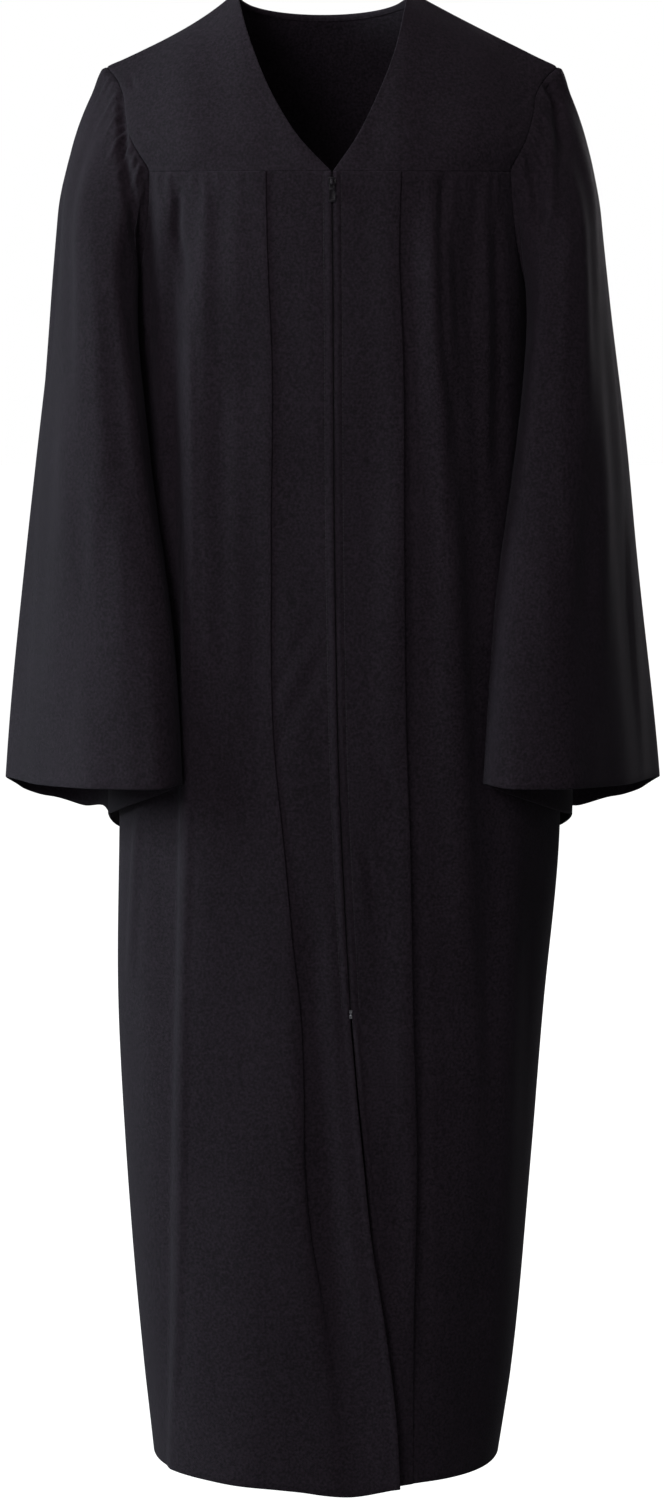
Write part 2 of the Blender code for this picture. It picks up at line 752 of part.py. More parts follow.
def sleeve_section(side, turn, height, puff):
    """A point of the sleeve's section: turn 0 is outermost and 90 degrees is the front."""
    outer, inner = SLEEVE.at("outer", height), SLEEVE.at("inner", height)
    front, back = SLEEVE.at("front", height), SLEEVE.at("back", height)
    lean = SLEEVE.at("lean", height)
    reach = math.sqrt(((outer - inner) / 2) ** 2 - lean**2)
    across = (outer + inner) / 2 + (reach + puff) * math.cos(turn) - lean * math.sin(turn)
    ahead = (back - front) / 2 - ((front + back) / 2 + puff) * math.sin(turn)
    return SLEEVE.at("sway", height) + side * across, ahead


def clear_of_body(x, y, height, clearance):
    """The point moved out until it clears the body's section."""
    sway = BODY.at("sway", height)
    half = BODY.at("half", height) + clearance
    depth = BODY.at("front" if y < 0 else "back", height) + clearance
    inside = (abs(x - sway) / half) ** ROUNDNESS + (abs(y) / depth) ** ROUNDNESS
    if inside >= 1:
        return x, y
    grow = inside ** (-1 / ROUNDNESS)
    return sway + (x - sway) * grow, y * grow


def build_sleeve(side, material):
    points, turns = armhole_loop(side)
    outs, offs = armhole_directions(side, points)
    opened = np.append(turns, 2 * math.pi)
    turns = np.empty(2 * len(points))
    turns[0::2], turns[1::2] = opened[:-1], (opened[:-1] + opened[1:]) / 2
    points, outs, offs = refine(points), refine(outs), refine(offs)
    outs = outs / np.linalg.norm(outs, axis=1, keepdims=True)

    rings = [points + offs * SEAM_GAP, points + offs * SEAM_TURN + outs * SEAM_RISE]
    for share in SLEEVE_ROWS:
        ring = []
        for k, (start, turn) in enumerate(zip(rings[0], turns, strict=True)):
            height = mix(start[2], CUFF.at("height", math.degrees(turn)), share)
            head = smooth((math.cos(turn) + 0.55) / 0.6)  # all but the underarm is gathered
            crimp = HEAD_GATHER * head * smooth(share / 0.03) * (1 if k % 2 else -1)
            crimp *= 1 - smooth(share / HEAD_GATHER_LENGTH)
            fold = 0.0
            for centre, half_width, rise in SLEEVE_FOLDS:
                away = abs(math.degrees(turn) - centre) / half_width
                if away < 1:
                    fold += rise * smooth(share) * math.cos(math.pi / 2 * away) ** 2
            x, y = sleeve_section(side, turn, height, crimp + fold)
            settle = 1 - (1 - min(share / SETTLE, 1.0)) ** 2
            x, y = mix(start[0], x, settle), mix(start[1], y, settle)
            below = smooth((YOKE_FOOT - height) / 0.03)
            room = min(CLEARANCE, HEAD_CLEARANCE + 0.05 * share)
            out_x, out_y = clear_of_body(x, y, height, room)
            x, y = mix(x, out_x, below), mix(y, out_y, below)
            ring.append(np.array((x, y, height)))
        rings.append(np.array(ring))
    grid = np.array(rings)
    if side == RIGHT:
        grid, outs = grid[:, ::-1], outs[::-1]
    normals = grid_normals(grid, closed=True)
    if np.sum(normals[-3] * (grid[-3] - grid[-3].mean(0))) < 0:
        normals = -normals
    normals[0] = outs
    name = "sleeve_right" if side == RIGHT else "sleeve_left"
    return wall(name, grid, normals, CLOTH, material, closed=True)


def zip_heights():
    heights = [height for height in panel_heights() if ZIP_END < height < -YOKE_DEPTH - 0.001]
    return [-YOKE_DEPTH - ZIP_TOP, *heights, ZIP_END - TAPE_OVERRUN]


def behind(x, height):
    """The point behind the front's cloth where the zip's middle surface lies."""
    return off_body(body_angle(x, height), height, -(CLOTH / 2 + SEAM_GAP + TAPE_THICKNESS / 2))


def build_tape(side, material):
    """A zip tape behind a front's edge."""
    grid = []
    for height in zip_heights():
        middle = ZIP_LINE.at("x", height)
        aways = (CHAIN_HALF + SEAM_GAP, TAPE_WIDTH / 2, TAPE_WIDTH)
        row = [behind(middle + side * away, height) for away in aways]
        grid.append(row if side == LEFT else row[::-1])
    grid = np.array(grid)
    name = "zip_tape_right" if side == RIGHT else "zip_tape_left"
    return wall(name, grid, grid_normals(grid), TAPE_THICKNESS, material)


def build_chain(material):
    """The closed row of teeth between the tapes, plain here, that ends above its stop."""
    grid = []
    for height in zip_heights()[:-1] + [ZIP_END + STOP_SIZE[2] / 2 + SEAM_GAP]:
        middle = ZIP_LINE.at("x", height)
        grid.append([behind(middle + away, height) for away in (-CHAIN_HALF, 0.0, CHAIN_HALF)])
    grid = np.array(grid)
    return wall("zip_chain", grid, grid_normals(grid), CHAIN_THICKNESS, material)


def box(name, size, centre, material=None, bevel=0.0):
    """A block in its parent's frame, by its width, its depth out from the cloth and its height."""
    mesh = bmesh.new()
    bmesh.ops.create_cube(mesh, size=1.0)
    across, out, up = centre
    for vert in mesh.verts:
        vert.co.x = vert.co.x * size[0] + across
        vert.co.y = vert.co.y * size[1] - out
        vert.co.z = vert.co.z * size[2] + up
    if bevel:
        bmesh.ops.bevel(mesh, geom=mesh.edges[:], offset=bevel, segments=2, affect="EDGES")
    data = bpy.data.meshes.new(name)
    mesh.to_mesh(data)
    mesh.free()
    if material:
        data.materials.append(material)
    obj = bpy.data.objects.new(name, data)
    bpy.context.collection.objects.link(obj)
    return obj


def combine(obj, helper, operation):
    """Adds or cuts a hidden helper block."""
    helper.hide_render = True
    helper.display_type = "WIRE"
    modifier = obj.modifiers.new(helper.name, "BOOLEAN")
    modifier.operation = operation
    modifier.object = helper


def empty(name, parent=None):
    frame = bpy.data.objects.new(name, None)
    bpy.context.collection.objects.link(frame)
    frame.parent = parent
    return frame


def build_slider(metal):
    """The slider, its bridge, and the pull tab that hangs from the bridge."""
    width, plate, height = SLIDER_SIZE
    above, below = (BODY.at("front", SLIDER_HEIGHT + step) for step in (height, -height))
    frame = empty("slider_frame")
    out = BODY.at("front", SLIDER_HEIGHT) + CLOTH / 2 + SEAM_GAP + plate
    frame.location = (ZIP_LINE.at("x", SLIDER_HEIGHT), -out, SLIDER_HEIGHT)
    frame.rotation_euler = (-math.atan((below - above) / (2 * height)), 0.0, 0.0)

    slider = box("zip_slider", SLIDER_SIZE, (0, -plate / 2, 0), metal, METAL_BEVEL)
    neck_size = (2 * LIP - 2 * CLOTH / 3 - SEAM_GAP, NECK_DEPTH, height * 0.7)
    neck = box("slider_neck", neck_size, (0, -plate - NECK_DEPTH / 3, 0))
    bridge = box("slider_bridge", BRIDGE_SIZE, (0, BRIDGE_SIZE[1] * 0.4, 0), None, METAL_BEVEL)
    tunnel = box("slider_tunnel", TUNNEL_SIZE, (0, TUNNEL_SIZE[1] / 2, 0))
    combine(bridge, tunnel, "DIFFERENCE")
    combine(slider, neck, "UNION")
    combine(slider, bridge, "UNION")
    for piece in (slider, neck, bridge, tunnel):
        piece.parent = frame

    # The tab's top bar lies in the tunnel, on the hinge's axis.
    hinge = empty("pull_hinge", frame)
    thick = TAB_SIZE[1]
    hinge.location = (0.0, -TUNNEL_SIZE[1] / 2, (thick - TUNNEL_SIZE[2]) / 2 + SEAM_GAP)
    middle = (0, 0, (thick - TAB_SIZE[2]) / 2)
    tab = box("zip_pull_tab", TAB_SIZE, middle, metal, METAL_BEVEL / 2)
    eye = box("tab_eye", EYE_SIZE, (0, 0, -(thick + EYE_SIZE[2]) / 2))
    combine(tab, eye, "DIFFERENCE")
    tab.parent = hinge
    eye.parent = hinge


def build_bottom_stop(metal):
    middle, _ = body_frame(body_angle(ZIP_LINE.at("x", ZIP_END), ZIP_END), ZIP_END)
    stop = box("zip_bottom_stop", STOP_SIZE, (0, 0, 0), metal, METAL_BEVEL)
    stop.location = middle


def main():
    clear_scene()
    cloth = finish("black_polyester", (0.012, 0.011, 0.013), 0.78)
    tape = finish("zip_tape", (0.008, 0.008, 0.009), 0.85)
    teeth = finish("zip_teeth", (0.010, 0.010, 0.011), 0.45)
    enamel = finish("black_enamel", (0.018, 0.018, 0.020), 0.32, 0.2)
    nickel = finish("nickel", (0.42, 0.42, 0.43), 0.35, 1.0)
    for side in (RIGHT, LEFT):
        build_front_yoke(side, cloth)
        build_front(side, cloth)
        build_sleeve(side, cloth)
        build_tape(side, tape)
    build_back_yoke(cloth)
    build_back(cloth)
    build_chain(teeth)
    build_slider(enamel)
    build_bottom_stop(nickel)


main()
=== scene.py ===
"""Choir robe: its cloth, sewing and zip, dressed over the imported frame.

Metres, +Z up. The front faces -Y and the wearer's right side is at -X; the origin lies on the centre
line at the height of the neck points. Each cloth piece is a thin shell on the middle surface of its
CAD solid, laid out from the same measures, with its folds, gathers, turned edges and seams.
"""

import logging
import math
from collections.abc import Callable, Sequence
from dataclasses import dataclass, field
from enum import Enum, IntEnum

import bmesh
import bpy
import numpy as np
from mathutils import Matrix, Vector


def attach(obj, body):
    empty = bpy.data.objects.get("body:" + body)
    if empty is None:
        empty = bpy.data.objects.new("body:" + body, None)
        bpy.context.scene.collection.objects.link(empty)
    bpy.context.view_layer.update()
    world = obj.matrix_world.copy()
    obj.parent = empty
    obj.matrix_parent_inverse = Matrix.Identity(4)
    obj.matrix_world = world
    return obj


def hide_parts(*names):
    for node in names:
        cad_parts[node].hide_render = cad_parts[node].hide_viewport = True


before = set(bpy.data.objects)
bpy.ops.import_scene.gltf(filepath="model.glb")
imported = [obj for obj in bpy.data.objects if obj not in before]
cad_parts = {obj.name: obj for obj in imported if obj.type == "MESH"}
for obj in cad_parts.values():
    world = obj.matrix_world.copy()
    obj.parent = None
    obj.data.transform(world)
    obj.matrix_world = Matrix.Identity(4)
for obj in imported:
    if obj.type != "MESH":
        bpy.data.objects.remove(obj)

LOG = logging.getLogger("choir_robe")

Array = np.ndarray
Object = bpy.types.Object
Material = bpy.types.Material
Socket = bpy.types.NodeSocket

SOLID_WALL = 0.0012  # wall of the CAD's cloth, whose middle surface the shells share
CLOTH = 0.0005  # thickness of the shells
SEAM_GAP = 0.0003
LENGTH = 1.372
YOKE_DEPTH = 0.165
ARMHOLE_DEPTH = 0.315
ROUNDNESS = 2.3  # exponent of the body's sections
SLEEVE_ROUNDNESS = 2.6
LAYER = 0.0010  # from one layer of a pleat to the next
PLEAT_UNDER = 0.016
PLEAT_SLOPE = 0.012
PLEAT_SPRING = 1.4  # a half open pleat's layers stand a quarter of this farther apart
FRONT_REACH = 0.22  # about from the pleat to the side seam
STACK_REACH = (0.30, 0.45)
SEAM_FADE = 0.86
CORNER_ANGLE = math.radians(57.0)
SIDE_ANGLE = math.radians(90.0)
HOLD_ANGLE = math.radians(40.0)
CORNER_TURN = math.radians(104.0)
LIP = 0.0010  # from the zip's middle to each lip's edge
TAPE_THICKNESS = 0.001
ZIP_TOP = 0.003
ZIP_END = -0.922
SLIDER_HEIGHT = -0.1755
ALLOWANCE = 0.0045  # seam allowance that stands inwards behind a seam
YOKE_WIDTH = 0.14  # about one shoulder's
YOKE_FALL = 0.16  # about the length of a yoke's cloth downwards
YOKE_EASE = 1.25  # the yokes' edges run down by the share to this power
YOKE_FADE = 0.012  # from a yoke's edges, where its creases fade out
RELIEF_FADE = 0.03  # the same from a side seam, for ripples and creases
GATHER_FADE = 0.01
GATHER_START = 0.005  # below a seam, where its gathers are full
COLUMN_STEP = 0.0029  # between the columns of the fronts and the back
CURVE_ROWS = 28  # beside the armhole
LOWER_ROWS = 148  # from the underarm to the hem
# Each seam's rounding: how far from the seam it starts, and its depth there.
SIDE_SEAM = (0.0024, 0.0011)
FRONT_SEAM = (0.0022, 0.0005)
BACK_SEAM = (0.0046, 0.0014)
SHOULDER_SEAM = (0.0016, 0.0005)
FRONT_YOKE_SEAM = (0.0012, 0.0003)
BACK_YOKE_SEAM = (0.0016, 0.0009)
SLEEVE_SEAM = (0.0030, 0.0012)
# Each turning: the width of the cloth that lies behind, and the radius of its fold.
HEM_TURN = (0.025, 0.0009)
CUFF_TURN = (0.028, 0.0008)
NECK_TURN = (0.008, 0.00040)
ZIP_TURN = (0.012, 0.00028)


class Face(Enum):
    """The two faces of the robe, named as the columns of its measures are."""

    FRONT = "front"
    BACK = "back"


class PleatLay(Enum):
    """Which cloth lies on top at a pressed pleat."""

    OUTER_OVER = "outer"
    CENTRE_OVER = "centre"


class Edge(Enum):
    """The four borders of a sheet's grid."""

    TOP = "top"
    BOTTOM = "bottom"
    FIRST = "first"
    LAST = "last"


class Side(IntEnum):
    """The wearer's sides, as signs of X."""

    RIGHT = -1
    LEFT = 1

    @property
    def word(self) -> str:
        """The side as the names of pieces have it."""
        return self.name.lower()

    @property
    def column(self) -> str:
        """The side's own column in the zip's and the pleats' measures."""
        return f"{self.word}_x"

    @property
    def borders(self) -> tuple[Edge, Edge]:
        """The outer and the inner border of a front piece."""
        return (Edge.FIRST, Edge.LAST) if self is Side.RIGHT else (Edge.LAST, Edge.FIRST)


def smooth(value: Array | float) -> Array:
    """Runs from 0 to 1 with level ends."""
    value = np.clip(value, 0.0, 1.0)
    return value * value * (3 - 2 * value)


def mix(first: Array | float, second: Array | float, share: Array | float) -> Array:
    """The value a share of the way from the first to the second."""
    return first + (second - first) * share


def unit(vectors: Array) -> Array:
    """Vectors of length one."""
    return vectors / np.linalg.norm(vectors, axis=-1, keepdims=True)


def power(value: Array, exponent: float) -> Array:
    """A power that keeps the sign."""
    return np.sign(value) * np.abs(value) ** exponent


def hump(away: Array) -> Array:
    """A rounded ridge: 1 where away is 0, and 0 from 1 on."""
    return np.where(np.abs(away) < 1, np.cos(math.pi / 2 * np.clip(away, -1, 1)) ** 2, 0.0)


def linked(name: str, data: bpy.types.ID) -> Object:
    """A new object in the scene that shows this data."""
    obj = bpy.data.objects.new(name, data)
    bpy.context.collection.objects.link(obj)
    return obj


def lines_run(line: Array) -> Array:
    """The length along a line at each of its points."""
    return np.concatenate(([0.0], np.cumsum(np.linalg.norm(np.diff(line, axis=0), axis=1))))


class Profile:
    """Rows with named columns, read smoothly at any place between them."""

    def __init__(self, columns: Sequence[str], rows: Sequence[Sequence[float]]) -> None:
        """Sorts the rows by their first column.

        Args:
            columns: The columns' names, the place first.
            rows: One row of numbers for each place.
        """
        self.columns = tuple(columns)
        self.rows = np.array(sorted(rows), float)

    def at(self, column: str, place: Array | float) -> Array:
        """Reads a column on a cubic through its rows.

        Args:
            column: The column's name.
            place: Where to read it; places outside the rows take the end's value.

        Returns:
            The values, shaped like place.
        """
        x = self.rows[:, 0]
        y = self.rows[:, self.columns.index(column)]
        place = np.clip(np.asarray(place, float), x[0], x[-1])
        slope = np.gradient(y, x)
        k = np.clip(np.searchsorted(x, place, "right") - 1, 0, len(x) - 2)
        step = x[k + 1] - x[k]
        t = (place - x[k]) / step
        start = (2 * t**3 - 3 * t**2 + 1) * y[k] + (t**3 - 2 * t**2 + t) * step * slope[k]
        end = (3 * t**2 - 2 * t**3) * y[k + 1] + (t**3 - t**2) * step * slope[k + 1]
        return start + end

    def edge(self, side: Side, height: Array | float) -> Array:
        """The x of a side's edge, half the width from the swaying middle."""
        return self.at("sway", height) + int(side) * self.at("half", height)


BODY_SECTIONS = Profile(
    ("height", "sway", "half", "front", "back"),
    (
        (-0.165, -0.002, 0.190, 0.122, 0.108), (-0.315, 0.000, 0.191, 0.136, 0.124),
        (-0.500, 0.003, 0.195, 0.142, 0.132), (-0.770, 0.007, 0.205, 0.145, 0.139),
        (-0.930, -0.001, 0.199, 0.145, 0.142), (-1.070, -0.003, 0.191, 0.144, 0.145),
        (-1.240, -0.004, 0.177, 0.142, 0.147), (-1.372, -0.006, 0.163, 0.141, 0.148),
    ),
)
SLEEVE_SECTIONS = Profile(
    ("height", "sway", "outer", "inner", "front", "back", "lean"),
    (
        (-0.100, -0.002, 0.244, 0.186, 0.060, 0.060, 0.004),
        (-0.160, -0.002, 0.2465, 0.180, 0.078, 0.072, 0.008),
        (-0.281, -0.001, 0.2585, 0.177, 0.106, 0.086, 0.016),
        (-0.437, 0.000, 0.277, 0.161, 0.128, 0.096, 0.026),
        (-0.560, 0.000, 0.291, 0.144, 0.142, 0.103, 0.038),
        (-0.724, 0.000, 0.309, 0.134, 0.156, 0.112, 0.048),
        (-0.790, 0.000, 0.315, 0.132, 0.159, 0.114, 0.050),
    ),
)
CUFF = Profile(
    ("turn", "height"),
    (
        (-45.0, -0.734), (0.0, -0.724), (45.0, -0.717), (95.0, -0.7145), (138.0, -0.7155),
        (160.0, -0.731), (185.0, -0.758), (203.0, -0.776), (217.0, -0.778), (231.0, -0.763),
        (250.0, -0.764), (268.0, -0.756), (290.0, -0.746), (315.0, -0.734), (360.0, -0.724),
        (405.0, -0.717),
    ),
)
ZIP_LINE = Profile(
    ("height", "x"),
    (
        (-0.165, 0.000), (-0.280, 0.001), (-0.545, 0.003), (-0.724, 0.007), (-0.850, 0.013),
        (-0.930, 0.0175),
    ),
)
SLIT = Profile(
    ("height", "right_x", "left_x", "lift"),
    (
        (-0.930, 0.0163, 0.0187, 0.0000), (-0.995, 0.0218, 0.0242, 0.0009),
        (-1.060, 0.0280, 0.0304, 0.0020), (-1.125, 0.0343, 0.0348, 0.0036),
        (-1.220, 0.0480, 0.0360, 0.0062), (-1.300, 0.0566, 0.0352, 0.0078),
        (-1.372, 0.0598, 0.0345, 0.0084),
    ),
)
PLEATS = Profile(
    ("height", "right_x", "left_x", "opening", "flattening"),
    (
        (-0.165, -0.0593, 0.0606, 0.0, 0.0), (-0.235, -0.0580, 0.0588, 0.0, 0.0),
        (-0.330, -0.0540, 0.0622, 0.0, 0.0), (-0.500, -0.0548, 0.0632, 0.0, 0.0),
        (-0.680, -0.0525, 0.0662, 0.0, 0.0), (-0.770, -0.0437, 0.0695, 0.0, 0.0),
        (-0.860, -0.0358, 0.0712, 0.0, 0.0), (-0.930, -0.0286, 0.0724, 0.0, 0.0),
        (-0.995, -0.0262, 0.0748, 0.0, 0.0), (-1.060, -0.0245, 0.0764, 0.3, 0.0),
        (-1.125, -0.0185, 0.0750, 0.6, 0.0), (-1.200, -0.0060, 0.0730, 0.85, 0.1),
        (-1.290, 0.0020, 0.0731, 1.0, 0.6), (-1.372, 0.0050, 0.0735, 1.0, 0.8),
    ),
)
NECKLINE = Profile(
    ("height", "sway", "half", "depth"),
    (
        (-0.1650, 0.0000, 0.0016, 0.1220), (-0.1380, -0.0035, 0.0240, 0.1120),
        (-0.1020, -0.0060, 0.0450, 0.0920), (-0.0570, -0.0070, 0.0640, 0.0620),
        (-0.0120, -0.0085, 0.0762, 0.0200), (0.0000, -0.0085, 0.0790, 0.0000),
    ),
)
ARMHOLE_TOP = Profile(
    ("height", "sway", "half", "front", "back"),
    (
        (-0.1650, -0.0020, 0.1631, 0.0719, 0.0637), (-0.1620, -0.0020, 0.1640, 0.0712, 0.0635),
        (-0.1500, -0.0025, 0.1710, 0.0670, 0.0620), (-0.1360, -0.0030, 0.1785, 0.0590, 0.0570),
        (-0.1150, -0.0025, 0.1845, 0.0450, 0.0450), (-0.0920, -0.0020, 0.1890, 0.0260, 0.0270),
        (-0.0780, -0.0010, 0.1970, 0.0110, 0.0120), (-0.0690, 0.0000, 0.2060, 0.0000, 0.0000),
    ),
)
HEM = Profile(
    ("across", "rise"),
    (
        (-1.00, 0.0100), (-0.85, 0.0100), (-0.48, 0.0080), (-0.10, 0.0045), (0.10, 0.0000),
        (0.36, 0.0080), (0.85, 0.0095), (1.00, 0.0110),
    ),
)
HEM_START = -1.290  # height from which the hem's rise comes in
SHOULDER_SAG = {Side.RIGHT: 0.0070, Side.LEFT: 0.0015}
BACK_NECK_DEPTH = 0.060
BACK_NECK_DROP = 0.020
LEAN_HEIGHT = 0.09


class Body:
    """The robe's hanging form, a rounded section at each height."""

    def at(self, column: str, height: Array | float) -> Array:
        """One measure of the section at a height."""
        return BODY_SECTIONS.at(column, height)

    def depth(self, ahead: Array, height: Array | float) -> Array:
        """The depth on the front where ahead is above 0, and on the back elsewhere."""
        return np.where(ahead > 0, self.at("front", height), self.at("back", height))

    def angle(self, x: Array | float, height: Array | float) -> Array:
        """The angle round the body, 0 in front, of the front's point at x."""
        off = x - self.at("sway", height)
        share = np.minimum(np.abs(off) / self.at("half", height), 1.0)
        return np.sign(off) * np.arcsin(share ** (ROUNDNESS / 2))

    def point(self, angle: Array, height: Array, out: Array | float = 0.0) -> Array:
        """Points of the form.

        Args:
            angle: Round the body, 0 in front and a quarter turn at +X.
            height: Heights of the sections.
            out: How far out from the section.

        Returns:
            The points, with the hem's rise worked in.
        """
        angle, height, out = np.broadcast_arrays(angle, height, out)
        across, ahead = np.sin(angle), np.cos(angle)
        u, w = power(across, 2 / ROUNDNESS), power(ahead, 2 / ROUNDNESS)
        x = self.at("sway", height) + self.at("half", height) * u
        y = -self.depth(ahead, height) * w
        lower = np.clip((HEM_START - height) / (HEM_START + LENGTH), 0, 1)
        z = height + HEM.at("rise", across) * lower
        return np.stack((x, y, z), axis=-1) + self.outward(angle, height) * out[..., None]

    def outward(self, angle: Array, height: Array) -> Array:
        """The outward direction, in plan, at an angle round the section."""
        angle, height = np.broadcast_arrays(angle, height)
        across, ahead = np.sin(angle), np.cos(angle)
        u, w = power(across, 2 / ROUNDNESS), power(ahead, 2 / ROUNDNESS)
        x = power(u, ROUNDNESS - 1) / self.at("half", height)
        y = -power(w, ROUNDNESS - 1) / self.depth(ahead, height)
        return unit(np.stack((x, y, np.zeros_like(x)), axis=-1))

    def outward_at(self, points: Array) -> Array:
        """The outward direction, in plan, at points on the form."""
        x, y, height = points[..., 0], points[..., 1], points[..., 2]
        half = self.at("half", height)
        depth = self.depth(-y, height)
        u, w = (x - self.at("sway", height)) / half, y / depth
        out_x, out_y = power(u, ROUNDNESS - 1) / half, power(w, ROUNDNESS - 1) / depth
        return unit(np.stack((out_x, out_y, np.zeros_like(out_x)), axis=-1))

    def clear(self, x: Array, y: Array, height: Array, room: Array) -> tuple[Array, Array]:
        """Moves points out until they clear the form by the room given."""
        sway = self.at("sway", height)
        half = self.at("half", height) + room
        depth = self.depth(-y, height) + room
        inside = (np.abs(x - sway) / half) ** ROUNDNESS + (np.abs(y) / depth) ** ROUNDNESS
        grow = np.where(inside < 1, np.maximum(inside, 1e-6) ** (-1 / ROUNDNESS), 1.0)
        return sway + (x - sway) * grow, y * grow


BODY = Body()


@dataclass(frozen=True)
class Crease:
    """A soft ridge, or a trough where its height is below 0, along a path in the front view."""

    path: tuple[tuple[float, float], ...]
    height: float
    half_width: tuple[float, float]
    fade: tuple[float, float]

    def at(self, x: Array, z: Array) -> Array:
        """How far the crease raises the cloth at x and z.

        Args:
            x: Across the front view.
            z: Up it.

        Returns:
            The height at each point.
        """
        path = np.array(self.path)
        starts, runs = lines_run(path), np.linalg.norm(np.diff(path, axis=0), axis=1)
        nearest = np.full(np.shape(x), np.inf)
        share = np.zeros(np.shape(x))
        for (ax, az), (bx, bz), run, start in zip(path, path[1:], runs, starts, strict=False):
            t = np.clip(((x - ax) * (bx - ax) + (z - az) * (bz - az)) / run**2, 0, 1)
            away = np.hypot(x - ax - t * (bx - ax), z - az - t * (bz - az))
            closer = away < nearest
            nearest = np.where(closer, away, nearest)
            share = np.where(closer, (start + t * run) / starts[-1], share)
        rise = smooth(share / max(self.fade[0], 1e-6))
        fall = smooth((1 - share) / max(self.fade[1], 1e-6))
        width = mix(*self.half_width, share)
        return self.height * rise * fall * hump(nearest / width)


def creases(*rows: Sequence[float | tuple[float, float]]) -> tuple[Crease, ...]:
    """Creases from rows of a height, two half widths, two fades and the path's points."""
    return tuple(Crease(row[5:], row[0], row[1:3], row[3:5]) for row in rows)


def creased(low: Array, added: Sequence[Crease], x: Array, z: Array) -> Array:
    """A relief with creases added to it."""
    for crease in added:
        low = low + crease.at(x, z)
    return low


@dataclass(frozen=True)
class Gathers:
    """Small puckers that run down from a seam: place, half width, height and length of each."""

    rows: tuple[tuple[float, float, float, float], ...]

    def at(self, place: Array, drop: Array) -> Array:
        """How far the puckers raise the cloth.

        Args:
            place: Along the seam, in the rows' own unit.
            drop: Below the seam, in metres.

        Returns:
            The height at each point.
        """
        total = np.zeros(np.broadcast(place, drop).shape)
        for middle, half_width, height, length in self.rows:
            reach = smooth(drop / GATHER_START) * (1 - smooth(drop / length))
            spread = half_width * (1 + 0.5 * np.clip(drop / length, 0, 1))
            total += height * reach * hump((place - middle) / spread)
        return total

    @staticmethod
    def scattered(
        seed: int, start: float, end: float, count: int, sizes: tuple[float, float, float]
    ) -> "Gathers":
        """Uneven puckers along a seam that the photograph doesn't show, the same on each run.

        Args:
            seed: Of the unevenness.
            start: First place along the seam.
            end: Last place along it.
            count: How many puckers.
            sizes: Mean half width, height and length.

        Returns:
            The gathers.
        """
        rng = np.random.default_rng(seed)
        step = (end - start) / count
        rows = []
        for k in range(count):
            middle = start + step * (k + 0.5 + rng.uniform(-0.28, 0.28))
            spans = zip(sizes, ((0.75, 1.25), (0.45, 1.35), (0.4, 1.7)), strict=True)
            rows.append((middle, *(size * rng.uniform(*span) for size, span in spans)))
        return Gathers(tuple(rows))


@dataclass(frozen=True)
class Ripples:
    """The slight unevenness of hanging cloth: long low waves, the same on each run."""

    seed: int
    height: float = 0.0007
    across: tuple[float, float] = (0.045, 0.12)
    down: tuple[float, float] = (0.25, 0.80)
    start: float = 0.10  # below a seam, where they are full
    waves: int = 8

    def at(self, across: Array, down: Array) -> Array:
        """The waves' height.

        Args:
            across: Metres across the cloth.
            down: Metres down it.

        Returns:
            The height at each point.
        """
        rng = np.random.default_rng(self.seed)
        total = np.zeros(np.broadcast(across, down).shape)
        for _ in range(self.waves):
            wide, tall = rng.uniform(*self.across), rng.uniform(*self.down)
            lean, phase = rng.choice((-1.0, 1.0)), rng.uniform(0, 2 * math.pi)
            total += np.sin(2 * math.pi * (across / wide + lean * down / tall) + phase)
        return self.height * total / math.sqrt(self.waves)

    def below(self, across: Array, down: Array, drop: Array) -> Array:
        """The waves' height where they come in below a seam."""
        return self.at(across, down) * smooth(drop / self.start)


def facing(values: Array, edge: Edge) -> Array:
    """A view of a grid whose lines are counted from the edge inwards."""
    if edge in (Edge.FIRST, Edge.LAST):
        values = values.swapaxes(0, 1)
    return values[::-1] if edge in (Edge.BOTTOM, Edge.LAST) else values


def turned_back(values: Array, edge: Edge) -> Array:
    """Undoes facing."""
    values = values[::-1] if edge in (Edge.BOTTOM, Edge.LAST) else values
    return values.swapaxes(0, 1) if edge in (Edge.FIRST, Edge.LAST) else values


def grid_outs(points: Array, closed: bool = False) -> Array:
    """Unit normals of a grid whose rows run down and whose columns run to the viewer's right."""
    if closed:
        across = np.roll(points, -1, 1) - np.roll(points, 1, 1)
    else:
        across = np.gradient(points, axis=1)
    return unit(np.cross(np.gradient(points, axis=0), across))


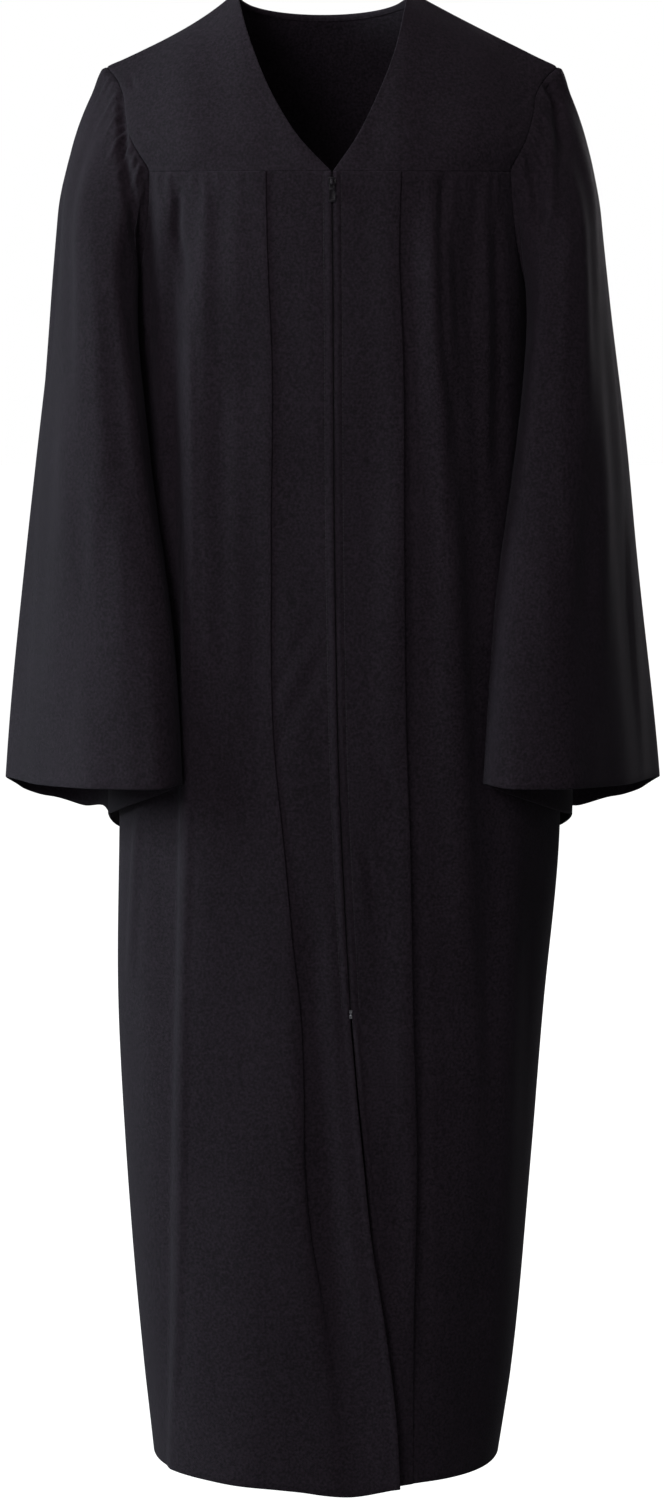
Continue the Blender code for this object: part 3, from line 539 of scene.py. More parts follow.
@dataclass
class Sheet:
    """One cloth piece as a grid of its middle surface, with the outward direction at each point."""

    points: Array
    outs: Array
    closed: bool = False

    def front_view(self) -> tuple[Array, Array]:
        """X and Z of all points."""
        return self.points[..., 0], self.points[..., 2]

    def lift(self, height: Array) -> None:
        """Moves the cloth out by the height given for each point."""
        self.points = self.points + self.outs * height[..., None]

    def from_edge(self, edge: Edge) -> Array:
        """How far each point lies from the edge, counted over the cloth; lines start there."""
        lines = facing(self.points, edge)
        steps = np.linalg.norm(np.diff(lines, axis=0), axis=-1)
        return np.concatenate((np.zeros((1, steps.shape[1])), np.cumsum(steps, axis=0)))

    def away(self, edge: Edge) -> Array:
        """How far each point of the grid lies from the edge."""
        return turned_back(self.from_edge(edge), edge)

    def lift_inside(self, height: Array, edges: Sequence[Edge]) -> None:
        """Moves the cloth out by the height, which fades out at these edges."""
        for edge in edges:
            height = height * smooth(self.away(edge) / YOKE_FADE)
        self.lift(height)

    def roll(self, edge: Edge, reach: float, depth: float) -> None:
        """Rounds the cloth inwards towards a seam.

        Args:
            edge: Where the seam is.
            reach: How far from the seam the rounding starts.
            depth: How deep it is at the seam.
        """
        share = 1 - np.clip(self.from_edge(edge) / reach, 0, 1)
        sink = depth * (1 - np.sqrt(1 - share**2))
        lines, outs = facing(self.points, edge), facing(self.outs, edge)
        lines -= outs * sink[..., None]

    def add_lines(self, edge: Edge, points: Array, outs: Array) -> None:
        """Puts new lines beyond an edge, the outermost first."""
        grown = np.concatenate((points, facing(self.points, edge)))
        self.points = np.ascontiguousarray(turned_back(grown, edge))
        grown = np.concatenate((outs, facing(self.outs, edge)))
        self.outs = np.ascontiguousarray(turned_back(grown, edge))

    def seam(self, edge: Edge, reach: float, depth: float) -> None:
        """Finishes an edge that is sewn to a neighbour: rounded in, with its allowance behind."""
        self.roll(edge, reach, depth)
        line, outs = facing(self.points, edge)[:1], facing(self.outs, edge)[:1]
        shares = np.array((1.0, 0.5))[:, None, None]
        self.add_lines(edge, line - outs * ALLOWANCE * shares, np.repeat(outs, 2, axis=0))

    def turn_under(self, edge: Edge, width: float, radius: float) -> None:
        """Folds the cloth back behind an edge, as for a hem.

        Args:
            edge: The edge that becomes a fold.
            width: Of the cloth that lies behind.
            radius: Of the fold.
        """
        away = self.from_edge(edge).mean(axis=1)
        lines, outs = facing(self.points, edge), facing(self.outs, edge)
        last = int(np.searchsorted(away, width))
        step = max(1, last // 7)
        chosen = [*range(last, 0, -step), 0]
        off = unit(lines[0] - lines[1])
        under = [lines[k] - outs[k] * 2 * radius for k in chosen]
        under_outs = [outs[k] for k in chosen]
        for turn in (0.75 * math.pi, 0.5 * math.pi, 0.25 * math.pi):
            across, inwards = math.sin(turn), 1 - math.cos(turn)
            under.append(lines[0] + off * radius * across - outs[0] * radius * inwards)
            under_outs.append(outs[0])
        self.add_lines(edge, np.array(under), np.array(under_outs))

    def build(self, name: str, finish: Material) -> Object:
        """Makes the sheet a shell of its cloth's thickness, with its grain as UVs in metres.

        Args:
            name: Of the object.
            finish: Its material.

        Returns:
            The object.
        """
        rows, columns = self.points.shape[:2]
        index = np.arange(rows * columns).reshape(rows, columns)
        across, down = self.lengths(1), self.lengths(0)
        if self.closed:
            index = np.concatenate((index, index[:, :1]), axis=1)
            down = np.concatenate((down, down[:, :1]), axis=1)
        corners = ((0, 0), (1, 0), (1, 1), (0, 1))
        last_row, last_column = index.shape[0] - 1, index.shape[1] - 1

        def cells(values: Array) -> Array:
            """The values at each face's four corners."""
            parts = [values[r : last_row + r, c : last_column + c] for r, c in corners]
            return np.stack(parts, axis=-1)

        mesh = bpy.data.meshes.new(name)
        mesh.from_pydata(
            self.points.reshape(-1, 3).tolist(), [], cells(index).reshape(-1, 4).tolist()
        )
        grain = np.stack((cells(across), cells(down)), axis=-1)
        mesh.uv_layers.new(name="grain").data.foreach_set("uv", grain.ravel())
        mesh.materials.append(finish)
        obj = linked(name, mesh)
        shell = obj.modifiers.new("thickness", "SOLIDIFY")
        shell.thickness = CLOTH
        shell.offset = 0.0
        bench.apply(obj, shell)
        bench.shade(obj, 62.0)
        return obj

    def lengths(self, axis: int) -> Array:
        """Lengths over the cloth along a grid axis, from its start; closed rows come full round."""
        points = self.points
        if self.closed and axis == 1:
            points = np.concatenate((points, points[:, :1]), axis=1)
        steps = np.linalg.norm(np.diff(points, axis=axis), axis=-1)
        start = np.zeros_like(np.take(steps, [0], axis=axis))
        return np.concatenate((start, np.cumsum(steps, axis=axis)), axis=axis)


class Pick(Enum):
    """What is picked in edit mode."""

    VERT = "VERT"
    EDGE = "EDGE"
    FACE = "FACE"


class Bench:
    """Modelling by operators, one object at a time with everything else deselected."""

    def take(self, *objs: Object) -> None:
        """Selects these objects alone, the first one active."""
        bpy.ops.object.select_all(action="DESELECT")
        for obj in objs:
            obj.select_set(True)
        bpy.context.view_layer.objects.active = objs[0]

    def apply(self, obj: Object, modifier: bpy.types.Modifier) -> None:
        """Applies one modifier."""
        self.take(obj)
        bpy.ops.object.modifier_apply(modifier=modifier.name)

    def shade(self, obj: Object, degrees: float) -> None:
        """Smooth shading, but for edges sharper than the angle."""
        self.take(obj)
        bpy.ops.object.shade_smooth_by_angle(angle=math.radians(degrees))

    def block(self, name: str, size: Sequence[float], place: Sequence[float]) -> Object:
        """A block of a given size, ready to be shaped.

        Args:
            name: Of the object.
            size: Along X, Y and Z.
            place: Of its middle.

        Returns:
            The object, with its size and place in its mesh.
        """
        bpy.ops.object.select_all(action="DESELECT")
        bpy.ops.mesh.primitive_cube_add(size=1.0, location=place)
        return self.named(name, size)

    def ball(self, name: str, size: Sequence[float]) -> Object:
        """A stretched ball of few faces round the origin."""
        bpy.ops.object.select_all(action="DESELECT")
        bpy.ops.mesh.primitive_uv_sphere_add(segments=8, ring_count=5, radius=0.5)
        return self.named(name, size)

    def named(self, name: str, size: Sequence[float]) -> Object:
        """Names the new primitive and works its size and place into its mesh."""
        obj = bpy.context.active_object
        obj.name = obj.data.name = name
        obj.scale = size
        bpy.ops.object.transform_apply(location=True, rotation=True, scale=True)
        return obj

    def open(self, obj: Object) -> None:
        """Enters edit mode on the object."""
        self.take(obj)
        bpy.ops.object.mode_set(mode="EDIT")

    def close(self) -> None:
        """Leaves edit mode."""
        bpy.ops.object.mode_set(mode="OBJECT")

    def choose(self, kind: Pick, test: Callable[[Vector, Vector], bool]) -> None:
        """Selects what passes a test.

        Args:
            kind: Verts, edges or faces.
            test: Called with the middle and the normal, or an edge's middle and direction.
        """
        bpy.ops.mesh.select_mode(type=kind.value)
        bpy.ops.mesh.select_all(action="DESELECT")
        data = bpy.context.active_object.data
        mesh = bmesh.from_edit_mesh(data)
        parts = {Pick.VERT: mesh.verts, Pick.EDGE: mesh.edges, Pick.FACE: mesh.faces}[kind]
        for part in parts:
            if kind is Pick.VERT:
                middle, normal = part.co, part.normal
            elif kind is Pick.EDGE:
                first, second = (vert.co for vert in part.verts)
                middle, normal = (first + second) / 2, (second - first).normalized()
            else:
                middle, normal = part.calc_center_median(), part.normal
            if test(middle, normal):
                part.select_set(True)
        bmesh.update_edit_mesh(data)

    def cut(self, axis: int, *places: float) -> None:
        """Cuts the open mesh across an axis at some places, and keeps all parts."""
        normal = [float(k == axis) for k in range(3)]
        for place in places:
            bpy.ops.mesh.select_all(action="SELECT")
            bpy.ops.mesh.bisect(plane_co=[place * share for share in normal], plane_no=normal)

    def sink(self, test: Callable[[Vector, Vector], bool], width: float, depth: float) -> None:
        """Sinks a field with a border of this width into the faces that pass a test."""
        self.choose(Pick.FACE, test)
        bpy.ops.mesh.inset(thickness=width, depth=-depth)

    def stretch(self, factors: Sequence[float], centre: Sequence[float]) -> None:
        """Scales what is selected about a centre."""
        bpy.ops.transform.resize(value=factors, center_override=centre)

    def extrude(self, x: float, y: float) -> None:
        """Draws what is selected out by x and y."""
        bpy.ops.mesh.extrude_region_move(TRANSFORM_OT_translate={"value": (x, y, 0)})

    def round(self, obj: Object, test: Callable[[Vector, Vector], bool], width: float) -> None:
        """Rounds the edges whose middle and direction pass a test."""
        self.open(obj)
        self.choose(Pick.EDGE, test)
        bpy.ops.mesh.bevel(offset=width, segments=4, affect="EDGES")
        self.close()

    def soften(self, obj: Object, width: float) -> None:
        """Bevels the sharp edges."""
        bevel = obj.modifiers.new("softened", "BEVEL")
        bevel.width = width
        bevel.segments = 2
        bevel.limit_method = "ANGLE"
        bevel.angle_limit = math.radians(35)
        self.apply(obj, bevel)

    def pierce(self, obj: Object, cutter: Object) -> None:
        """Cuts one closed shape out of another, and drops the cutter."""
        hole = obj.modifiers.new("hole", "BOOLEAN")
        hole.operation = "DIFFERENCE"
        hole.solver = "EXACT"
        hole.object = cutter
        self.apply(obj, hole)
        bpy.data.objects.remove(cutter)

    def join(self, name: str, *objs: Object) -> Object:
        """Joins objects into the first and names it."""
        self.take(*objs)
        bpy.ops.object.join()
        objs[0].name = objs[0].data.name = name
        return objs[0]

    def coat(self, obj: Object, material: Material, degrees: float) -> None:
        """Gives the object one material, and smooth shading up to an angle."""
        obj.data.materials.clear()
        obj.data.materials.append(material)
        self.shade(obj, degrees)

    def finish(self, obj: Object, material: Material, place: Matrix) -> Object:
        """Coats a piece of metal and works its place into its mesh."""
        self.coat(obj, material, 40.0)
        obj.matrix_world = place
        self.take(obj)
        bpy.ops.object.transform_apply(location=True, rotation=True, scale=True)
        return obj

    def repeat(self, name: str, pattern: Object, places: Sequence[Matrix]) -> Object:
        """Copies a pattern to many places as one object.

        Args:
            name: Of the new object.
            pattern: Modelled round the origin; it is dropped afterwards.
            places: One for each copy.

        Returns:
            The new object.
        """
        data = pattern.data
        verts = np.array([vert.co for vert in data.vertices])
        faces = [list(face.vertices) for face in data.polygons]
        all_verts, all_faces = [], []
        for k, matrix in enumerate(places):
            turn, shift = np.array(matrix.to_3x3()), np.array(matrix.translation)
            all_verts.append(verts @ turn.T + shift)
            order = -1 if np.linalg.det(turn) < 0 else 1
            start = k * len(verts)
            all_faces.extend([start + v for v in face[::order]] for face in faces)
        mesh = bpy.data.meshes.new(name)
        mesh.from_pydata(np.concatenate(all_verts).tolist(), [], all_faces)
        for material in data.materials:
            mesh.materials.append(material)
        obj = linked(name, mesh)
        bpy.data.objects.remove(pattern)
        self.shade(obj, 50.0)
        return obj


bench = Bench()


class Wiring:
    """A node tree with short ways to add and join nodes."""

    def __init__(self, tree: bpy.types.NodeTree) -> None:
        """Takes the tree to work on."""
        self.tree = tree

    def add(self, kind: str, **values: object) -> bpy.types.Node:
        """Adds a node and sets its properties."""
        node = self.tree.nodes.new(kind)
        for name, value in values.items():
            setattr(node, name, value)
        return node

    def join(self, start: Socket, end: Socket) -> None:
        """Links an output to an input."""
        self.tree.links.new(start, end)

    def feed(self, value: Socket | float | Sequence[float], end: Socket) -> None:
        """Links an output to an input, or sets the input's own value."""
        if isinstance(value, bpy.types.NodeSocket):
            self.join(value, end)
        else:
            end.default_value = value

    def settle(self, node: bpy.types.Node, values: dict[str, object]) -> bpy.types.Node:
        """Feeds a node's inputs by their names."""
        for name, value in values.items():
            self.feed(value, node.inputs[name])
        return node

    def effect(self, tree: bpy.types.NodeTree, values: dict[str, object]) -> bpy.types.Node:
        """Places a shared effect with its own values."""
        return self.settle(self.add("ShaderNodeGroup", node_tree=tree), values)

    def math(self, operation: str, first: Socket | float, second: Socket | float = 0.0) -> Socket:
        """A Math node's result."""
        node = self.add("ShaderNodeMath", operation=operation)
        self.feed(first, node.inputs[0])
        self.feed(second, node.inputs[1])
        return node.outputs[0]

    def spread(self, value: Socket, low: float, high: float, start: float, end: float) -> Socket:
        """Maps a value's range to another one, and holds it there."""
        values = {"Value": value, "From Min": low, "From Max": high, "To Min": start, "To Max": end}
        return self.settle(self.add("ShaderNodeMapRange"), values).outputs["Result"]

    def blend(self, share: Socket, first: Sequence[float], second: Sequence[float]) -> Socket:
        """A colour between two."""
        node = self.add("ShaderNodeMix", data_type="RGBA")
        self.join(share, node.inputs[0])
        node.inputs[6].default_value = (*first, 1.0)
        node.inputs[7].default_value = (*second, 1.0)
        return node.outputs[2]

    def bump(self, height: Socket, depth: float, strength: float) -> Socket:
        """The normal of a bumpy surface."""
        values = {"Strength": strength, "Distance": depth, "Height": height}
        return self.settle(self.add("ShaderNodeBump"), values).outputs["Normal"]


class Effects:
    """The effects that several finishes share, each a node group that is built once."""

    def __init__(self) -> None:
        """Builds the groups."""
        self.weave = self.build_weave()
        self.unevenness = self.build_unevenness()
        self.wear = self.build_wear()

    def group(
        self, name: str, inputs: Sequence[tuple[str, str, float | None]], outputs: Sequence[str]
    ) -> tuple[bpy.types.NodeTree, Wiring, bpy.types.Node, bpy.types.Node]:
        """An empty group with its sockets.

        Args:
            name: Of the group.
            inputs: Name, kind and default value of each input.
            outputs: Names of the outputs, all numbers.

        Returns:
            The tree, its wiring, its input node and its output node.
        """
        tree = bpy.data.node_groups.new(name, "ShaderNodeTree")
        for label, kind, value in inputs:
            socket = tree.interface.new_socket(label, in_out="INPUT", socket_type=kind)
            if value is not None:
                socket.default_value = value
        for label in outputs:
            tree.interface.new_socket(label, in_out="OUTPUT", socket_type="NodeSocketFloat")
        wiring = Wiring(tree)
        return tree, wiring, wiring.add("NodeGroupInput"), wiring.add("NodeGroupOutput")

    def build_weave(self) -> bpy.types.NodeTree:
        """Threads over and under each other at a pitch: Height, and Gap, 1 between threads for
        painted shade.
        """
        inputs = (("Grain", "NodeSocketVector", None), ("Pitch", "NodeSocketFloat", 0.0006))
        tree, w, start, end = self.group("weave", inputs, ("Height", "Gap"))
        parts = w.add("ShaderNodeSeparateXYZ")
        w.join(start.outputs["Grain"], parts.inputs[0])
        waves = []
        for axis in ("X", "Y"):
            turns = w.math("DIVIDE", parts.outputs[axis], start.outputs["Pitch"])
            waves.append(w.math("SINE", w.math("MULTIPLY", turns, 2 * math.pi)))
        over = w.math("MULTIPLY", waves[0], waves[1])
        w.join(w.spread(over, -1.0, 1.0, 0.0, 1.0), end.inputs["Height"])
        gap = w.math("SUBTRACT", 1.0, w.math("ABSOLUTE", over))
        w.join(w.math("POWER", gap, 3.0), end.inputs["Gap"])
        return tree

    def build_unevenness(self) -> bpy.types.NodeTree:
        """Cloudy unevenness: Broad over a hand's width, and Fine at the size of a few threads."""
        inputs = (
            ("Place", "NodeSocketVector", None),
            ("Broad Scale", "NodeSocketFloat", 9.0),
            ("Fine Scale", "NodeSocketFloat", 650.0),
        )
        tree, w, start, end = self.group("unevenness", inputs, ("Broad", "Fine"))
        for label, detail in (("Broad", 3.0), ("Fine", 2.0)):
            scale, place = start.outputs[f"{label} Scale"], start.outputs["Place"]
            noise = w.settle(
                w.add("ShaderNodeTexNoise"), {"Detail": detail, "Vector": place, "Scale": scale}
            )
            w.join(w.spread(noise.outputs["Fac"], 0.3, 0.7, 0.0, 1.0), end.inputs[label])
        return tree

    def build_wear(self) -> bpy.types.NodeTree:
        """Sharp corners, lightened as wear and as a painted highlight: 1 there, broken up by Fine
        unevenness.
        """
        inputs = (("Fine", "NodeSocketFloat", 0.5), ("Amount", "NodeSocketFloat", 0.5))
        tree, w, start, end = self.group("rubbed_and_highlit_edges", inputs, ("Rubbed",))
        shape = w.add("ShaderNodeNewGeometry")
        sharp = w.spread(shape.outputs["Pointiness"], 0.52, 0.60, 0.0, 1.0)
        broken = w.math("MULTIPLY", sharp, w.math("ADD", start.outputs["Fine"], 0.35))
        w.join(w.math("MULTIPLY", broken, start.outputs["Amount"]), end.inputs["Rubbed"])
        return tree


@dataclass(frozen=True)
class ClothFinish:
    """Woven polyester: its colours, weave and sheen, with painted shade between the threads."""

    name: str
    dark: tuple[float, float, float]
    light: tuple[float, float, float]
    pitch: float = 0.0006
    weave_strength: float = 0.35
    grain_depth: float = 0.00030
    grain_scale: float = 420.0
    grain_strength: float = 0.35
    # The tone's gap part darkens the colour between the threads: painted shade.
    tone: tuple[float, float, float] = (0.16, 0.84, 0.25)  # parts of broad, fine and gap
    roughness: tuple[float, float] = (0.74, 0.90)
    specular: float = 0.07
    sheen: float = 0.02
    uses_grain: bool = True

    def make(self, effects: Effects) -> Material:
        """Builds the material.

        Args:
            effects: The shared node groups.

        Returns:
            The material.
        """
        material, w, shader = new_material(self.name)
        place = w.add("ShaderNodeTexCoord")
        grain = place.outputs["UV" if self.uses_grain else "Object"]
        weave = w.effect(effects.weave, {"Grain": grain, "Pitch": self.pitch})
        values = {"Place": place.outputs["Object"], "Fine Scale": self.grain_scale}
        cloud = w.effect(effects.unevenness, values)
        broad, fine, gap = self.tone
        tone = w.math("MULTIPLY", cloud.outputs["Broad"], broad)
        tone = w.math("ADD", tone, w.math("MULTIPLY", cloud.outputs["Fine"], fine))
        # Darker between the threads: painted shade.
        tone = w.math("SUBTRACT", tone, w.math("MULTIPLY", weave.outputs["Gap"], gap))
        threads = w.math("MULTIPLY", weave.outputs["Height"], self.weave_strength)
        crepe = w.math("MULTIPLY", cloud.outputs["Fine"], self.grain_strength)
        w.settle(
            shader,
            {
                "Base Color": w.blend(tone, self.dark, self.light),
                "Roughness": w.spread(cloud.outputs["Fine"], 0.0, 1.0, *self.roughness),
                "Normal": w.bump(w.math("ADD", threads, crepe), self.grain_depth, 0.8),
                "Specular IOR Level": self.specular,
                "Sheen Weight": self.sheen,
                "Sheen Roughness": 0.5,
                "Sheen Tint": (0.80, 0.86, 1.0, 1.0),
            },
        )
        return material


@dataclass(frozen=True)
class HardFinish:
    """Enamel, plated metal or moulded nylon, with fine scratches and edges lightened as wear and as
    a painted highlight.
    """

    name: str
    colour: tuple[float, float, float]
    # The edges' colour, for wear and for a painted highlight.
    rubbed: tuple[float, float, float]
    roughness: tuple[float, float]
    metallic: float
    # How far the edges lighten, for wear and as a painted highlight.
    wear: float
    specular: float = 0.5

    def make(self, effects: Effects) -> Material:
        """Builds the material.

        Args:
            effects: The shared node groups.

        Returns:
            The material.
        """
        material, w, shader = new_material(self.name)
        place = w.add("ShaderNodeTexCoord").outputs["Object"]
        values = {"Place": place, "Broad Scale": 260.0, "Fine Scale": 2400.0}
        cloud = w.effect(effects.unevenness, values)
        # Sharp edges take the lighter colour: partly wear, partly a painted highlight.
        worn_and_highlit = w.effect(effects.wear, {"Fine": cloud.outputs["Fine"], "Amount": self.wear})
        w.settle(
            shader,
            {
                "Base Color": w.blend(worn_and_highlit.outputs["Rubbed"], self.colour, self.rubbed),
                "Roughness": w.spread(cloud.outputs["Broad"], 0.0, 1.0, *self.roughness),
                "Normal": w.bump(cloud.outputs["Fine"], 0.00002, 0.25),
                "Metallic": self.metallic,
                "Specular IOR Level": self.specular,
            },
        )
        return material


def new_material(name: str) -> tuple[Material, Wiring, bpy.types.Node]:
    """A new material with its wiring and its Principled shader."""
    material = bpy.data.materials.new(name)
    material.use_nodes = True
    return material, Wiring(material.node_tree), material.node_tree.nodes["Principled BSDF"]


CLOTH_COLOURS = (0.0054, 0.0038, 0.0056), (0.0190, 0.0138, 0.0193)
# The second colour of each hard finish is its edges': lighter for wear and as a painted highlight.
NYLON_COLOURS = (0.0042, 0.0034, 0.0046), (0.0104, 0.0086, 0.0112)
ENAMEL_COLOURS = (0.0034, 0.0026, 0.0040), (0.036, 0.028, 0.040)
NICKEL_COLOURS = (0.11, 0.11, 0.12), (0.24, 0.24, 0.25)
TAPE_COLOURS = (0.005, 0.005, 0.006), (0.012, 0.012, 0.013)
THREAD_COLOURS = (0.010, 0.010, 0.012), (0.020, 0.019, 0.022)
FINISHES = (
    ClothFinish("matte_black_polyester", *CLOTH_COLOURS),
    ClothFinish(
        "black_woven_tape", *TAPE_COLOURS, pitch=0.0009, weave_strength=0.8, uses_grain=False
    ),
    ClothFinish(
        "black_sewing_thread",
        *THREAD_COLOURS,
        pitch=0.0005,
        specular=0.35,
        sheen=0.0,
        uses_grain=False,
    ),
    HardFinish("black_nylon_coil", *NYLON_COLOURS, (0.50, 0.62), 0.0, wear=0.3, specular=0.15),
    HardFinish(
        "black_enamelled_metal", *ENAMEL_COLOURS, (0.36, 0.50), 0.0, wear=0.28, specular=0.12
    ),
    HardFinish("dull_nickel_plate", *NICKEL_COLOURS, (0.42, 0.58), 1.0, wear=0.6),
)


def from_seam(reach: float, near: Sequence[float], step: float) -> Array:
    """Distances from a seam: close together beside it, then even steps.

    Args:
        reach: The last distance.
        near: The close ones.
        step: About how long the even steps are.

    Returns:
        The distances, starting with near.
    """
    count = max(2, round((reach - near[-1]) / step))
    return np.concatenate((near, np.linspace(near[-1], reach, count + 1)[1:]))


NEAR_SEAM = (0.0, 0.0004, 0.0010, 0.0018, 0.0030, 0.0050)
NEAR_YOKE = (0.0, 0.0005, 0.0012, 0.0022, 0.0035, 0.0055, 0.0080)
NEAR_HEAD = (0.0, 0.0004, 0.0010, 0.0018, 0.0028, 0.0040, 0.0056, 0.0078, 0.0105, 0.0140)
GROOVE = 0.0070  # from the zip's lip to the stitched line
GROOVE_HALF_WIDTH = 0.0016
STITCH_END = 0.01  # half the length over which the stitches' pull ends at the zip's foot
LIP_BELOW = 0.45  # how much of the lip's height is left below the zip
PLEAT_RAMP = (0.45, 0.5)  # where the centre cloth starts up to the pleat's top, over what share
NEAR_LIP = (0, 0.0004, 0.0010, 0.0018, 0.0028, 0.0040, 0.0052, 0.0060, 0.0065, GROOVE)
NEAR_LIP += (0.0075, 0.0080, 0.0090)


def panel_heights() -> Array:
    """Heights of the rows of the fronts and the back, close together at the seam and underarm."""
    turns = math.pi / 2 * np.arange(1, CURVE_ROWS + 1) / CURVE_ROWS
    curve = -YOKE_DEPTH - (ARMHOLE_DEPTH - YOKE_DEPTH) * np.sin(turns)
    near = -YOKE_DEPTH - SEAM_GAP - np.array(NEAR_YOKE)
    curve = curve[curve < near[-1] - 0.002]
    below = np.linspace(-ARMHOLE_DEPTH, -LENGTH, LOWER_ROWS)[1:]
    return np.concatenate((near, curve, below))


def armhole_angle(side: int, height: Array) -> Array:
    """Where the armhole cuts a panel: round at the underarm, upright at the yoke."""
    share = np.clip((-YOKE_DEPTH - height) / (ARMHOLE_DEPTH - YOKE_DEPTH), 0, 1)
    return side * mix(CORNER_ANGLE, SIDE_ANGLE, 1 - np.sqrt(1 - share**2))


def panel_angle(natural: Array, end: Array) -> Array:
    """An angle from a panel's middle, squeezed near its edge where an armhole cuts it back."""
    share = (np.abs(natural) - HOLD_ANGLE) / (SIDE_ANGLE - HOLD_ANGLE)
    squeezed = np.sign(natural) * mix(HOLD_ANGLE, np.abs(end), share)
    return np.where(np.abs(natural) <= HOLD_ANGLE, natural, squeezed)


def hem_share(height: Array) -> Array:
    """0 at the yoke seam and 1 at the hem."""
    return (height + YOKE_DEPTH) / (YOKE_DEPTH - LENGTH)


@dataclass(frozen=True)
class Fold:
    """A long soft fold: x at the yoke and hem, heights where it starts, is full and ends."""

    x_top: float
    x_hem: float
    start: float
    full: float
    end: float
    height: float
    half_width: float
    outer: float = 1.0  # the outer flank's width, as a share of the inner one's

    def at(self, x: Array, height: Array) -> Array:
        """How far the fold raises the cloth at x and a height."""
        away = (x - mix(self.x_top, self.x_hem, hem_share(height))) / self.half_width
        away = np.where(away * self.x_top > 0, away / self.outer, away)
        rise = smooth((self.start - height) / (self.start - self.full))
        fall = smooth((height - self.end) / (self.full - self.end))
        reach = np.where(height > self.full, rise, fall)
        return self.height * reach * hump(away)


def folds(*rows: Sequence[float]) -> tuple[Fold, ...]:
    """Folds from rows of a Fold's numbers."""
    return tuple(Fold(*row) for row in rows)


@dataclass(frozen=True)
class Ramp:
    """A measure that eases from one value to another below a height."""

    above: float
    below: float
    height: float
    reach: float

    def at(self, height: Array) -> Array:
        """The measure at a height."""
        return mix(self.above, self.below, smooth((self.height - height) / self.reach))


@dataclass(frozen=True)
class Edging:
    """How a front is laid at the zip, the slit and the pleat, in which the two sides differ."""

    lay: PleatLay
    lift: float  # of the slit's edge, as a share of SLIT's
    opening: float  # of the pleat at the hem, as a share of PLEATS'
    layers: Ramp  # how thick the pleat's layers are, in LAYERs
    lip: Ramp  # height of the rounded lip
    lip_middle: float  # from its edge
    lip_half_width: float
    groove: Ramp  # depth of the stitched line


